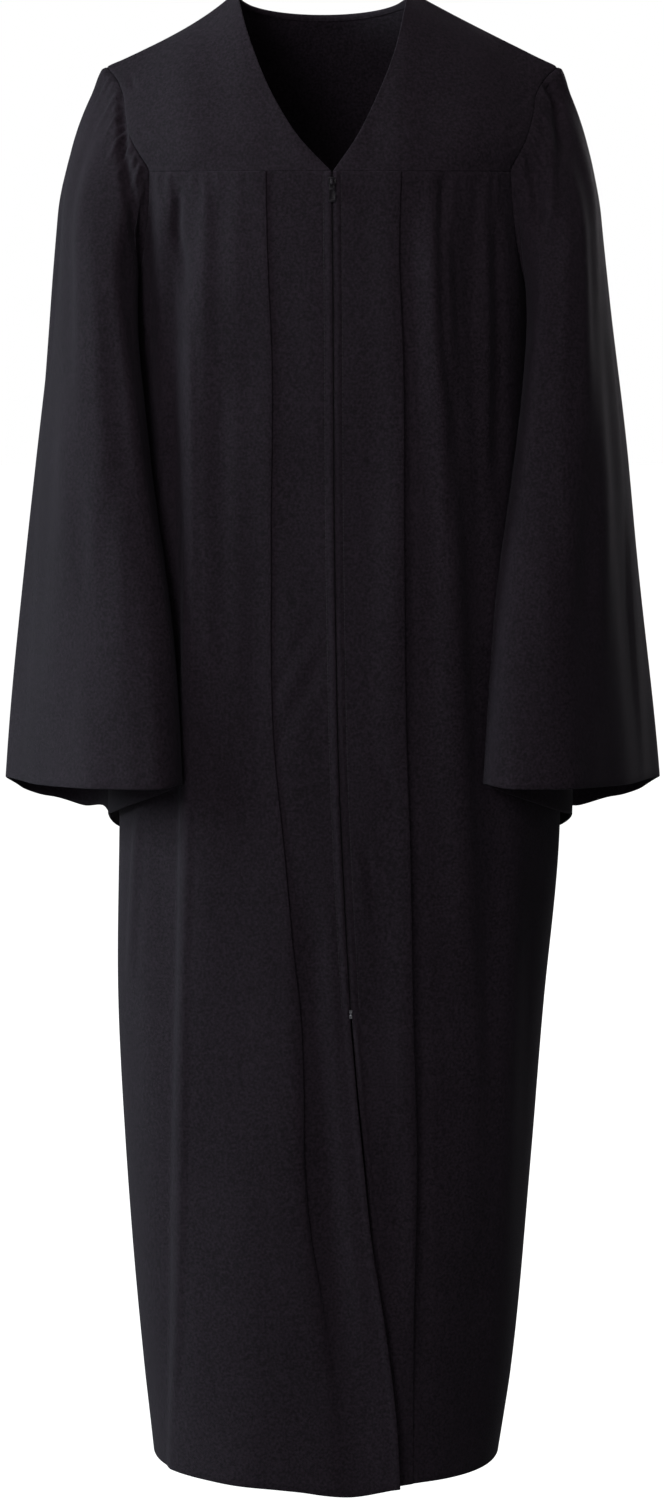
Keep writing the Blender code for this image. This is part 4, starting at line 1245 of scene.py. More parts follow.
@dataclass
class Front:
    """One front, from the zip to the side seam, with its pressed pleat."""

    side: Side
    edging: Edging
    folds: tuple[Fold, ...]
    creases: tuple[Crease, ...]
    gathers: Gathers
    ripples: Ripples
    stitches: list[Array] = field(default_factory=list)  # the line they follow, and its outs

    def pleat(self, height: Array, layer: Array, opening: Array) -> tuple[Array, Array]:
        """Lays the pleat.

        Args:
            height: Heights of the rows.
            layer: From one layer of cloth to the next.
            opening: How far the pleat has opened, from 0 to 1.

        Returns:
            Its columns' x, from the centre cloth out, and how far each point is out.
        """
        turn = np.linspace(0, math.pi, 8)
        bulge, half = LAYER / 2 * np.sin(turn), (1 - np.cos(turn)) / 2
        run = np.linspace(0, 1, 8)[1:-1]
        through = np.linspace(0, 1, 2 * len(turn) + len(run))
        if self.edging.lay is PleatLay.OUTER_OVER:
            away = np.concatenate((PLEAT_UNDER + bulge, PLEAT_UNDER * (1 - run), -bulge))
            layers = np.concatenate((half, np.ones_like(run), 1 + half))
            opened, open_layers = PLEAT_SLOPE * (through - 0.5), 2 * smooth(through)
        else:
            away = np.concatenate((bulge, -PLEAT_UNDER * run, -PLEAT_UNDER - bulge))
            layers = np.concatenate((2 - half, np.ones_like(run), 1 - half))
            opened, open_layers = PLEAT_SLOPE * through, 2 * (1 - smooth(through))
        x = PLEATS.at(self.side.column, height) + int(self.side) * mix(away, opened, opening)
        return x, layer * mix(layers, open_layers, opening)

    def centre(self, height: Array, pleat_x: Array, pleat_out: Array) -> tuple[Array, Array]:
        """Lays the centre cloth, from the zip's lip or the slit's edge to the pleat.

        Args:
            height: Heights of the rows.
            pleat_x: Where the pleat starts.
            pleat_out: How far it is out there.

        Returns:
            Its columns' x, and how far each point is out.
        """
        edging, zipped = self.edging, height >= ZIP_END
        lip_x = ZIP_LINE.at("x", height) + int(self.side) * LIP
        edge_x = np.where(zipped, lip_x, SLIT.at(self.side.column, height))
        lift = np.where(zipped, 0.0, SLIT.at("lift", height) * edging.lift)
        width = np.abs(pleat_x - edge_x)
        near = np.array(NEAR_LIP) / width
        tail = near[:, -1:] + (1 - near[:, -1:]) * np.linspace(0, 1, 36)[1:-1]
        share = np.concatenate((near, tail), axis=1)
        from_lip = share * width
        stitched = smooth((height - ZIP_END + STITCH_END) / (2 * STITCH_END))
        lip = hump((from_lip - edging.lip_middle) / edging.lip_half_width)
        lip = edging.lip.at(height) * lip * mix(LIP_BELOW, 1.0, stitched)
        groove = edging.groove.at(height) * hump((from_lip - GROOVE) / GROOVE_HALF_WIDTH)
        out = lift * (1 - share) ** 2 + lip - groove * stitched
        if edging.lay is PleatLay.CENTRE_OVER:
            out = out + pleat_out * smooth((share - PLEAT_RAMP[0]) / PLEAT_RAMP[1])
        return mix(edge_x, pleat_x, share), out

    def flank(self, height: Array, start: Array, layer: Array) -> tuple[Array, Array]:
        """Lays the outer cloth, from the pleat to the armhole or the side seam.

        Args:
            height: Heights of the rows.
            start: The angle round the body where the pleat ends.
            layer: From one layer of cloth to the next.

        Returns:
            Its columns' angles, and how far each point is out.
        """
        spread = 1 - from_seam(FRONT_REACH, NEAR_SEAM, COLUMN_STEP)[-2::-1] / FRONT_REACH
        natural = mix(start, int(self.side) * SIDE_ANGLE, spread)
        angle = panel_angle(natural, armhole_angle(self.side, height))
        x = BODY.point(angle, height)[..., 0]
        rise = sum((fold.at(x, height) for fold in self.folds), np.zeros_like(x))
        rise = rise * (1 - smooth((spread - SEAM_FADE) / (1 - SEAM_FADE)))
        if self.edging.lay is PleatLay.OUTER_OVER:
            reach = mix(*STACK_REACH, hem_share(height))
            rise = 2 * layer * (1 - smooth(spread / reach)) + rise
        return angle, rise

    def sheet(self) -> Sheet:
        """Lays the front out, and keeps the line that its stitches follow."""
        height = panel_heights()[:, None]
        opening = np.clip(PLEATS.at("opening", height), 0, 1) * self.edging.opening
        flat = 1 - np.clip(PLEATS.at("flattening", height), 0, 1)
        layer = LAYER * flat * (1 + PLEAT_SPRING * opening * (1 - opening))
        layer = layer * self.edging.layers.at(height)
        pleat_x, pleat_out = self.pleat(height, layer, opening)
        centre_x, centre_out = self.centre(height, pleat_x[:, :1], pleat_out[:, :1])
        angle = BODY.angle(np.concatenate((centre_x, pleat_x), axis=1), height)
        flank_angle, flank_out = self.flank(height, angle[:, -1:], layer)
        angle = np.concatenate((angle, flank_angle), axis=1)
        out = np.concatenate((centre_out, pleat_out, flank_out), axis=1)

        points, outs = BODY.point(angle, height, out), BODY.outward(angle, height)
        below = height[:, 0] <= -ARMHOLE_DEPTH
        points[below, -1] += unit(points[below, -2] - points[below, -1]) * SEAM_GAP / 2
        mark = NEAR_LIP.index(GROOVE)
        if self.side is Side.RIGHT:
            points, outs, mark = points[:, ::-1].copy(), outs[:, ::-1].copy(), -1 - mark
        sheet = Sheet(points, outs)
        side_seam, zip_side = self.side.borders

        # The relief, which fades out at the seams.
        x, z = sheet.front_view()
        to_side, drop = sheet.away(side_seam), sheet.from_edge(Edge.TOP)
        low = creased(self.ripples.below(x, z, drop), self.creases, x, z)
        low = low * smooth(to_side / RELIEF_FADE)
        sheet.lift(low + self.gathers.at(x, drop) * smooth(to_side / GATHER_FADE))
        rows = panel_heights() > ZIP_END
        self.stitches = [sheet.points[rows, mark], sheet.outs[rows, mark]]
        sheet.seam(side_seam, *SIDE_SEAM)
        sheet.seam(Edge.TOP, *FRONT_SEAM)
        sheet.turn_under(zip_side, *ZIP_TURN)
        sheet.turn_under(Edge.BOTTOM, *HEM_TURN)
        return sheet


@dataclass
class Back:
    """The back, gathered into its yoke from side seam to side seam."""

    flutes: tuple[tuple[float, float, float, float, float], ...]
    gathers: Gathers
    ripples: Ripples

    def sheet(self) -> Sheet:
        """Lays the back out."""
        height = panel_heights()[:, None]
        half = from_seam(0.275, NEAR_SEAM, COLUMN_STEP) / 0.55
        spread = np.concatenate((half, 1 - half[-2::-1]))
        natural = SIDE_ANGLE * (2 * spread - 1)
        angle = math.pi - panel_angle(natural, armhole_angle(1, height))
        out = np.zeros(np.broadcast(angle, height).shape)
        fall = hem_share(height)
        for turn, half_width, rise, top, hem in self.flutes:
            away = (np.degrees(natural) - turn) / half_width
            reach = smooth((-YOKE_DEPTH - 0.001 - height) / rise)
            out = out + mix(top, hem, np.clip(fall, 0, 1) ** 0.8) * reach * hump(away)
        points, outs = BODY.point(angle, height, out), BODY.outward(angle, height)
        sheet = Sheet(points[:, ::-1].copy(), outs[:, ::-1].copy())
        x, z = sheet.front_view()
        drop = sheet.from_edge(Edge.TOP)
        inside = np.minimum(sheet.away(Edge.FIRST), sheet.away(Edge.LAST))
        low = self.ripples.below(x, z, drop) * smooth(inside / RELIEF_FADE)
        sheet.lift(low + self.gathers.at(x, drop) * smooth(inside / GATHER_FADE))
        for edge in (Edge.FIRST, Edge.LAST):
            sheet.seam(edge, *SIDE_SEAM)
        sheet.seam(Edge.TOP, *BACK_SEAM)
        sheet.turn_under(Edge.BOTTOM, *HEM_TURN)
        return sheet


@dataclass
class Armhole:
    """One armhole as a closed line: shoulder tip, front, underarm, back."""

    side: Side
    halves: dict[Face, tuple[Array, Array]] = field(default_factory=dict)

    def __post_init__(self) -> None:
        """Runs both halves and gives each point its turn round the sleeve."""
        for face in Face:
            upper = self.yoke_edge(face, np.linspace(0, 1, 160))
            share = np.sin(math.pi / 2 * np.arange(1, 161) / 160)
            height = -YOKE_DEPTH - (ARMHOLE_DEPTH - YOKE_DEPTH) * share
            angle = armhole_angle(int(self.side), height)
            if face is Face.BACK:
                angle = int(self.side) * math.pi - angle
            line = np.concatenate((upper, BODY.point(angle, height)))
            run = lines_run(line)
            marks = (0.0, run[len(upper) - 1], run[-1])
            turns = np.interp(run, marks, (0.0, CORNER_TURN, math.pi))
            self.halves[face] = (line, turns)

    def yoke_edge(self, face: Face, share: Array) -> Array:
        """The yoke's armhole edge, from the shoulder tip at 0 to the yoke's corner at 1."""
        top, bottom = ARMHOLE_TOP.rows[-1][0], -YOKE_DEPTH
        height = mix(top, bottom, share**YOKE_EASE)
        x = ARMHOLE_TOP.edge(self.side, height)
        ahead = -1 if face is Face.FRONT else 1
        y = ahead * ARMHOLE_TOP.at(face.value, height)
        corner = CORNER_ANGLE if face is Face.FRONT else math.pi - CORNER_ANGLE
        foot = BODY.point(np.array(int(self.side) * corner), np.array(-YOKE_DEPTH))
        line = np.stack((x, y, height), axis=-1)
        off = foot - np.array((x[-1], y[-1], height[-1]))
        return line + off * smooth((share - 0.8) / 0.2)[:, None]

    def points(self, turns: Array) -> Array:
        """Points of the line at turns round the sleeve."""
        result = np.zeros((len(turns), 3))
        for k, turn in enumerate(turns):
            turn = turn % (2 * math.pi)
            face = Face.FRONT if turn <= math.pi else Face.BACK
            line, marks = self.halves[face]
            turn = turn if face is Face.FRONT else 2 * math.pi - turn
            result[k] = [np.interp(turn, marks, line[:, axis]) for axis in range(3)]
        return result

    def directions(self, points: Array) -> tuple[Array, Array]:
        """Outward from the body, and off its edge into the armhole, at each point of the line."""
        tangent = np.roll(points, -1, 0) - np.roll(points, 1, 0)
        centre = points.mean(0)
        flat_points = points.copy()
        flat_points[:, 2] = np.minimum(flat_points[:, 2], -YOKE_DEPTH)
        flat = BODY.outward_at(flat_points)
        lean = smooth((points[:, 2:] + YOKE_DEPTH) / LEAN_HEIGHT)
        outs = unit(mix(flat, shoulder_normal(self.side), lean))
        offs = unit(np.cross(outs, tangent))
        wrong = np.sum(offs * (centre - points), axis=1, keepdims=True) < 0
        return outs, np.where(wrong, -offs, offs)


def neck_point(side: Side) -> Array:
    """Where the shoulder seam meets the neckline."""
    return np.array((NECKLINE.edge(side, 0.0), 0.0, 0.0))


def shoulder_tip(side: Side) -> Array:
    """Where the shoulder seam meets the armhole."""
    top = ARMHOLE_TOP.rows[-1][0]
    return np.array((ARMHOLE_TOP.edge(side, top), 0.0, top))


def shoulder_line(side: Side, share: Array) -> Array:
    """The shoulder seam, from the neck point at 0 to the tip at 1."""
    points = mix(neck_point(side), shoulder_tip(side), share[:, None])
    points[:, 2] -= SHOULDER_SAG[side] * np.sin(math.pi * share**0.7)
    return points


def shoulder_normal(side: Side) -> Array:
    """Straight up from the shoulder seam."""
    run = shoulder_tip(side) - neck_point(side)
    return unit(np.array((-run[2] * int(side), 0.0, run[0] * int(side))))


def patch(
    top: Array, bottom: Array, first: Array, last: Array, u: Array, v: Array, easing: int = 0
) -> Array:
    """A smooth surface between four edges.

    Args:
        top: Points across at the top.
        bottom: Points across at the bottom.
        first: Points down at the first column.
        last: Points down at the last column.
        u: Shares across.
        v: Shares down.
        easing: Rounds of smoothing of the top's influence in each row below it.

    Returns:
        The grid.
    """
    upper = top.copy()
    rows = []
    for r, share in enumerate(v):
        ruled = mix(upper, bottom, share) + mix(first[r], last[r], u[:, None])
        corners = mix(
            mix(top[0], top[-1], u[:, None]), mix(bottom[0], bottom[-1], u[:, None]), share
        )
        rows.append(ruled - corners)
        for _ in range(easing):
            upper[1:-1] = (upper[:-2] + 2 * upper[1:-1] + upper[2:]) / 4
    return np.array(rows)


def both_ends(length: float, step: float) -> Array:
    """Shares from 0 to 1, close together at both ends of a length."""
    near = np.array(NEAR_SEAM) / length
    middle = np.linspace(near[-1], 1 - near[-1], max(3, round(length / step)))
    return np.concatenate((near[:-1], middle, 1 - near[-2::-1]))


def downward(length: float, step: float) -> Array:
    """Shares down a yoke's edges, close together at both ends of a length."""
    even = both_ends(length, step)
    share = even ** (1 / YOKE_EASE)
    share[-len(NEAR_SEAM) :] = 1 - (1 - even[-len(NEAR_SEAM) :]) / YOKE_EASE
    return np.unique(np.clip(share, 0, 1))


@dataclass
class FrontYoke:
    """One half of the front yoke: shoulder seam, V neckline, armhole and yoke seam."""

    side: Side
    armhole: Armhole
    creases: tuple[Crease, ...]
    ripples: Ripples

    def sheet(self) -> Sheet:
        """Lays the yoke out."""
        u, v = both_ends(YOKE_WIDTH, 0.0026), downward(YOKE_FALL, 0.0030)
        height = mix(0.0, -YOKE_DEPTH, v**YOKE_EASE)
        neck_x = NECKLINE.edge(self.side, height)
        neck = np.stack((neck_x, -NECKLINE.at("depth", height), height), axis=-1)
        foot_angle = BODY.angle(neck[-1][0], -YOKE_DEPTH)
        bottom_angle = mix(foot_angle, int(self.side) * CORNER_ANGLE, u)
        bottom = BODY.point(bottom_angle, np.full_like(u, -YOKE_DEPTH))
        neck[-1] = bottom[0]
        arm = self.armhole.yoke_edge(Face.FRONT, v)
        points = patch(shoulder_line(self.side, u), bottom, neck, arm, u, v)
        points[0] += unit(points[1] - points[0]) * SEAM_GAP / 2
        if self.side is Side.RIGHT:
            points = points[:, ::-1].copy()
        outs = grid_outs(points)
        outs[-1] = BODY.outward_at(points[-1])
        outs[0] = shoulder_normal(self.side)
        sheet = Sheet(points, outs)
        arm_edge, neck_edge = self.side.borders
        x, z = sheet.front_view()
        low = creased(self.ripples.at(x, z), self.creases, x, z)
        sheet.lift_inside(low, (arm_edge, Edge.TOP, Edge.BOTTOM, neck_edge))
        sheet.seam(arm_edge, *SIDE_SEAM)
        sheet.seam(Edge.BOTTOM, *FRONT_YOKE_SEAM)
        sheet.seam(Edge.TOP, *SHOULDER_SEAM)
        sheet.turn_under(neck_edge, *NECK_TURN)
        return sheet


@dataclass
class BackYoke:
    """The back yoke, between both shoulder seams, the back neck and the back's gathers."""

    armholes: dict[Side, Armhole]
    ripples: Ripples

    def sheet(self) -> Sheet:
        """Lays the yoke out."""
        v = downward(YOKE_FALL, 0.0030)
        third = np.linspace(0, 1, 44)
        near = np.array(NEAR_SEAM[:-1]) / YOKE_WIDTH
        right = np.concatenate((near, third[1:]))
        turn = math.pi * third[1:-1]
        deep = np.sin(turn)
        neck_x = NECKLINE.at("sway", 0.0) - NECKLINE.at("half", 0.0) * np.cos(turn)
        drop = -BACK_NECK_DROP * deep**0.7
        neck = np.stack((neck_x, BACK_NECK_DEPTH * deep, drop), axis=-1)
        left_shoulder = shoulder_line(Side.LEFT, (1 - right)[::-1])
        top = np.concatenate((shoulder_line(Side.RIGHT, 1 - right), neck, left_shoulder))
        u = np.concatenate((right / 3, (1 + third[1:-1]) / 3, 1 - right[::-1] / 3))
        ends = math.pi - CORNER_ANGLE
        angle = mix(-ends, ends - 2 * math.pi, u)
        bottom = BODY.point(angle, np.full_like(u, -YOKE_DEPTH))
        first = self.armholes[Side.RIGHT].yoke_edge(Face.BACK, v)
        last = self.armholes[Side.LEFT].yoke_edge(Face.BACK, v)
        points = patch(top, bottom, first, last, u, v, easing=12)
        points[0] += unit(points[1] - points[0]) * 0.00055
        points = points[:, ::-1].copy()
        outs = grid_outs(points)
        outs[-1] = BODY.outward_at(points[-1])
        shoulder = len(right)
        outs[0, :shoulder] = shoulder_normal(Side.LEFT)
        outs[0, -shoulder:] = shoulder_normal(Side.RIGHT)
        sheet = Sheet(points, outs)
        low = self.ripples.at(*sheet.front_view())
        sheet.lift_inside(low, (Edge.FIRST, Edge.LAST, Edge.TOP, Edge.BOTTOM))
        for edge in (Edge.FIRST, Edge.LAST):
            sheet.seam(edge, *SIDE_SEAM)
        sheet.seam(Edge.BOTTOM, *BACK_YOKE_SEAM)
        sheet.turn_under(Edge.TOP, *NECK_TURN)
        return sheet


@dataclass
class Sleeve:
    """A bell sleeve, gathered into its armhole."""

    side: Side
    armhole: Armhole
    creases: tuple[Crease, ...]
    gathers: Gathers
    folds: tuple[tuple[float, float, float], ...]
    ripples: Ripples
    length: float = 0.66
    radius: float = 0.11  # about the mean one, for its ripples
    columns: int = 216
    settle: float = 0.20  # share over which the head comes to the hanging section
    room: float = 0.009
    head_room: float = 0.0045
    seam_rise: float = 0.0014
    seam_turn: float = 0.0022
    seam_start: float = 0.003  # drop at which the rise and the turn are full
    seam_fade: tuple[float, float] = (0.004, 0.022)  # where they start to fade, over what length
    yoke_foot: float = -0.150

    def section(self, turn: Array, height: Array, puff: Array) -> tuple[Array, Array]:
        """Plan points of the hanging sleeve: turn 0 is outermost and a quarter is the front."""
        outer, inner, front, back, lean = (
            SLEEVE_SECTIONS.at(name, height) for name in ("outer", "inner", "front", "back", "lean")
        )
        partner = SLEEVE_ROUNDNESS / (SLEEVE_ROUNDNESS - 1)
        reach = (((outer - inner) / 2) ** partner - lean**partner) ** (1 / partner)
        u, w = (power(part, 2 / SLEEVE_ROUNDNESS) for part in (np.cos(turn), np.sin(turn)))
        across = (outer + inner) / 2 + (reach + puff) * u - lean * w
        ahead = (back - front) / 2 - ((front + back) / 2 + puff) * w
        return SLEEVE_SECTIONS.at("sway", height) + int(self.side) * across, ahead

    def sheet(self) -> Sheet:
        """Lays the sleeve out as a tube."""
        turns = np.linspace(0, 2 * math.pi, self.columns, endpoint=False)
        start = self.armhole.points(turns)
        outs, offs = self.armhole.directions(start)
        drop = from_seam(self.length, NEAR_HEAD, 0.0056)[:, None]
        share = drop / self.length
        degrees = np.degrees(turns)
        height = mix(start[:, 2], CUFF.at("height", degrees), share)
        fold = np.zeros_like(height)
        for centre, half_width, rise in self.folds:
            fold = fold + rise * smooth(share) * hump((degrees - centre) / half_width)
        x, y = self.section(turns, height, fold)
        settle = 1 - (1 - np.minimum(share / self.settle, 1.0)) ** 2
        x, y = mix(start[:, 0], x, settle), mix(start[:, 1], y, settle)
        below = smooth((self.yoke_foot - height) / 0.03)
        room = np.minimum(self.room, self.head_room + 0.05 * share) * smooth(drop / 0.012)
        out_x, out_y = BODY.clear(x, y, height, room)
        x, y = mix(x, out_x, below), mix(y, out_y, below)
        points = np.stack((x, y, height), axis=-1)
        hold, length = self.seam_fade
        full, fade = smooth(drop / self.seam_start), 1 - smooth((drop - hold) / length)
        turn_off = mix(SEAM_GAP, self.seam_turn, full) * fade
        rise_off = self.seam_rise * full * fade
        points = points + offs * turn_off[..., None] + outs * rise_off[..., None]
        if self.side is Side.LEFT:
            points, outs, turns = points[:, ::-1].copy(), outs[::-1], turns[::-1]
        normals = grid_outs(points, closed=True)
        lead = smooth(drop / 0.005)[..., None]
        sheet = Sheet(points, unit(mix(outs, normals, lead)), closed=True)

        # The relief: ripples all round, creases on the front alone and the head's gathers.
        x, z = sheet.front_view()
        degrees = np.degrees(turns)
        wrapped = (degrees + 180) % 360 - 180
        in_front = smooth((degrees - 4) / 14) * smooth((176 - degrees) / 14)
        low = self.ripples.below(turns * self.radius, z, drop)
        low = low + creased(np.zeros_like(x), self.creases, x, z) * in_front
        sheet.lift(low + self.gathers.at(wrapped, drop))
        sheet.seam(Edge.TOP, *SLEEVE_SEAM)
        sheet.turn_under(Edge.BOTTOM, *CUFF_TURN)
        return sheet


@dataclass
class Zip:
    """The closed zip: coil teeth, their filler cords, slider, pull tab and bottom stop."""

    finishes: dict[str, Material]
    pitch: float = 0.00125
    tooth: tuple[float, float, float] = (0.0016, 0.0009, 0.0007)
    slider_size: tuple[float, float, float] = (0.0068, 0.0014, 0.0100)
    tunnel: tuple[float, float] = (0.0019, 0.0030)  # clear depth and height under the bridge
    tab_size: tuple[float, float, float] = (0.0058, 0.0011, 0.0175)
    stop_size: tuple[float, float, float] = (0.0026, 0.0022, 0.0076)
    run: tuple[float, float] = (-YOKE_DEPTH - ZIP_TOP, ZIP_END + 0.0036)  # of the chain

    def middle(self, height: Array, x_off: float, depth: float) -> Array:
        """Points along the zip, behind the cloth's middle surface by the depth given."""
        x = ZIP_LINE.at("x", height) + x_off
        return BODY.point(BODY.angle(x, height), height, -depth)

    def build_teeth(self) -> Object:
        """The row of teeth: one is modelled and copied left and right down the zip."""
        size = self.tooth
        tooth = bench.block("tooth", size, (size[0] / 2 - 0.0003, 0, 0))
        bench.open(tooth)
        bench.choose(Pick.FACE, lambda at, normal: normal.x < -0.9)
        bench.extrude(-0.00035, 0)
        bench.stretch((1, 0.75, 1.35), (-0.00065, 0, 0))
        bench.choose(Pick.EDGE, lambda at, run: at.y < -size[1] * 0.3)
        bpy.ops.mesh.bevel(offset=0.00018, segments=1, affect="EDGES")
        bench.close()
        tooth.data.materials.append(self.finishes["black_nylon_coil"])
        depth = SOLID_WALL / 2 + SEAM_GAP + TAPE_THICKNESS / 2
        top, bottom = self.run
        heights = np.arange(top - 0.001, bottom, -self.pitch / 2)
        points = self.middle(heights, 0.0, depth - 0.0001)
        places = []
        for k, point in enumerate(points):
            flip = Matrix.Diagonal((-1, 1, 1)) if k % 2 else Matrix.Identity(3)
            tilt = Matrix.Rotation(math.radians(-9), 3, "Y")
            places.append(Matrix.Translation(Vector(point)) @ (flip @ tilt).to_4x4())
        return bench.repeat("zip_teeth", tooth, places)

    def build_filler(self) -> Object:
        """The two filler cords that the coil is sewn round, behind the teeth."""
        heights = np.linspace(*self.run, 90)
        curve = bpy.data.curves.new("zip_filler", "CURVE")
        curve.dimensions = "3D"
        curve.bevel_depth = 0.00062
        curve.bevel_resolution = 2
        curve.use_fill_caps = True
        for x_off in (-0.00066, 0.00066):
            points = self.middle(heights, x_off, SOLID_WALL / 2 + SEAM_GAP + 0.0010)
            line = curve.splines.new("POLY")
            line.points.add(len(points) - 1)
            line.points.foreach_set("co", np.insert(points, 3, 1.0, axis=1).ravel())
        bench.take(linked("zip_filler", curve))
        bpy.ops.object.convert(target="MESH")
        filler = bpy.context.active_object
        bench.coat(filler, self.finishes["black_woven_tape"], 60.0)
        return filler

    def slider_frame(self) -> Matrix:
        """Where the slider's front plate lies, leaning with the cloth."""
        height = self.slider_size[2]
        above, below = (
            float(BODY.at("front", SLIDER_HEIGHT + step)) for step in (height, -height)
        )
        out = float(BODY.at("front", SLIDER_HEIGHT))
        out += SOLID_WALL / 2 + SEAM_GAP + self.slider_size[1]
        place = Vector((float(ZIP_LINE.at("x", SLIDER_HEIGHT)), -out, SLIDER_HEIGHT))
        lean = Matrix.Rotation(-math.atan((below - above) / (2 * height)), 4, "X")
        return Matrix.Translation(place) @ lean

    def build_slider(self) -> Object:
        """The slider: a waisted plate with a neck behind it and a bridge in front."""
        plate = self.slider_size[1]
        body = bench.block("zip_slider_metal", self.slider_size, (0, plate / 2, 0))
        bench.open(body)
        bench.cut(2, -0.0034, -0.0010, 0.0026, 0.0040)
        bench.cut(0, -0.00105, 0.00105)
        self.taper(((-0.0050, 0.62), (-0.0034, 0.76), (-0.0010, 0.88), (0.0050, 0.80)), 0.002)
        bench.choose(
            Pick.FACE,
            lambda at, normal: normal.y > 0.9 and abs(at.x) < 0.001 and abs(at.z) < 0.0035,
        )
        bench.extrude(0, 0.0014)
        bench.sink(
            lambda at, normal: normal.y < -0.9 and abs(at.x) > 0.001 and abs(at.z) < 0.0040,
            0.0005,
            0.00022,
        )
        bench.close()
        bench.soften(body, 0.00030)

        bridge = bench.block("bridge", (0.0017, 0.0029, 0.0050), (0, -0.00125, 0))
        bench.round(bridge, lambda at, run: abs(run.x) > 0.95 and at.y < -0.0026, 0.0010)
        size = (0.004, self.tunnel[0] + 0.002, self.tunnel[1])
        tunnel = bench.block("tunnel", size, (0, 0.001 - 0.00095, 0))
        bench.round(tunnel, lambda at, run: abs(run.x) > 0.95 and at.y < -0.0018, 0.0005)
        bench.pierce(bridge, tunnel)
        bench.soften(bridge, 0.00016)
        slider = bench.join("zip_slider_metal", body, bridge)
        return bench.finish(slider, self.finishes["black_enamelled_metal"], self.slider_frame())

    @staticmethod
    def taper(levels: Sequence[tuple[float, float]], beyond: float) -> None:
        """Narrows the open mesh at some heights.

        Args:
            levels: Height and width factor of each.
            beyond: Only verts further than this from the middle line move.
        """
        for level, factor in levels:
            bench.choose(
                Pick.VERT,
                lambda at, _, level=level: abs(at.z - level) < 0.00005 and abs(at.x) > beyond,
            )
            bench.stretch((factor, 1, 1), (0, 0, 0))

    def build_tab(self) -> Object:
        """The pull tab: a waisted loop with an eye for the bridge and a sunk grip."""
        _, thick, length = self.tab_size
        tab = bench.block("zip_pull_loop", self.tab_size, (0, 0, (thick - length) / 2))
        foot = thick / 2 - length
        bench.open(tab)
        bench.cut(2, -0.0007, -0.0042, -0.0058, -0.0125, -0.0152)
        levels = ((thick / 2, 0.70), (-0.0007, 0.78), (-0.0042, 0.82), (-0.0058, 0.86))
        self.taper((*levels, (-0.0152, 0.94), (foot, 0.66)), 0.001)
        bench.sink(
            lambda at, normal: abs(normal.y) > 0.9 and -0.0155 < at.z < -0.0055, 0.0007, 0.00025
        )
        bench.close()
        eye = bench.block("eye", (0.0026, 0.004, 0.0034), (0, 0, -0.0024))
        bench.round(eye, lambda at, run: abs(run.y) > 0.95, 0.0009)
        bench.pierce(tab, eye)
        bench.soften(tab, 0.00022)
        depth, height = self.tunnel
        hinge = Matrix.Translation((0, -depth / 2, (thick - height) / 2 + SEAM_GAP))
        return bench.finish(tab, self.finishes["black_enamelled_metal"], self.slider_frame() @ hinge)

    def build_stop(self) -> Object:
        """The bottom stop, a small clamped bar."""
        stop = bench.block("zip_stop_metal", self.stop_size, (0, 0, 0))
        bench.open(stop)
        bench.cut(2, -0.0012, 0.0, 0.0012)
        bench.choose(Pick.VERT, lambda at, normal: abs(at.z) < 0.0001)
        bench.stretch((0.55, 0.50, 1), (0, 0, 0))
        bench.sink(
            lambda at, normal: abs(normal.y) > 0.8 and abs(at.z) > 0.0013, 0.0005, 0.00015
        )
        bench.close()
        bench.soften(stop, 0.00035)
        middle = Vector(self.middle(np.array(ZIP_END), 0.0, 0.0))
        return bench.finish(stop, self.finishes["dull_nickel_plate"], Matrix.Translation(middle))


def stitch_row(
    name: str,
    line: Array,
    outs: Array,
    thread: Material,
    stitch: float = 0.0025,
    gap: float = 0.0006,
) -> Object:
    """A row of sewn stitches along a line on the cloth.

    Args:
        name: Of the object.
        line: Points of the cloth's middle surface.
        outs: The outward direction at each.
        thread: The thread's material.
        stitch: Length of one stitch.
        gap: From one to the next.

    Returns:
        The object.
    """
    pattern = bench.ball("stitch", (0.00042, 0.00036, stitch))
    pattern.data.materials.append(thread)
    run = lines_run(line)
    marks = np.arange(0.004, run[-1] - 0.002, stitch + gap)
    centres, leads, ways = (
        np.stack([np.interp(marks + off, run, values[:, axis]) for axis in range(3)], axis=1)
        for values, off in ((line, 0.0), (line, 0.001), (outs, 0.0))
    )
    places = []
    for centre, lead, way in zip(centres, leads, unit(ways), strict=True):
        down = Vector(lead - centre).normalized()
        side = down.cross(Vector(way)).normalized()
        turn = Matrix((side, down.cross(side), down)).transposed().to_4x4()
        places.append(Matrix.Translation(Vector(centre + way * CLOTH * 0.55)) @ turn)
    return bench.repeat(name, pattern, places)


@dataclass(frozen=True)
class Cut:
    """What a piece was cut to before it was sewn; its area where it isn't a rectangle."""

    width: float
    length: float
    area: float | None
    held: str


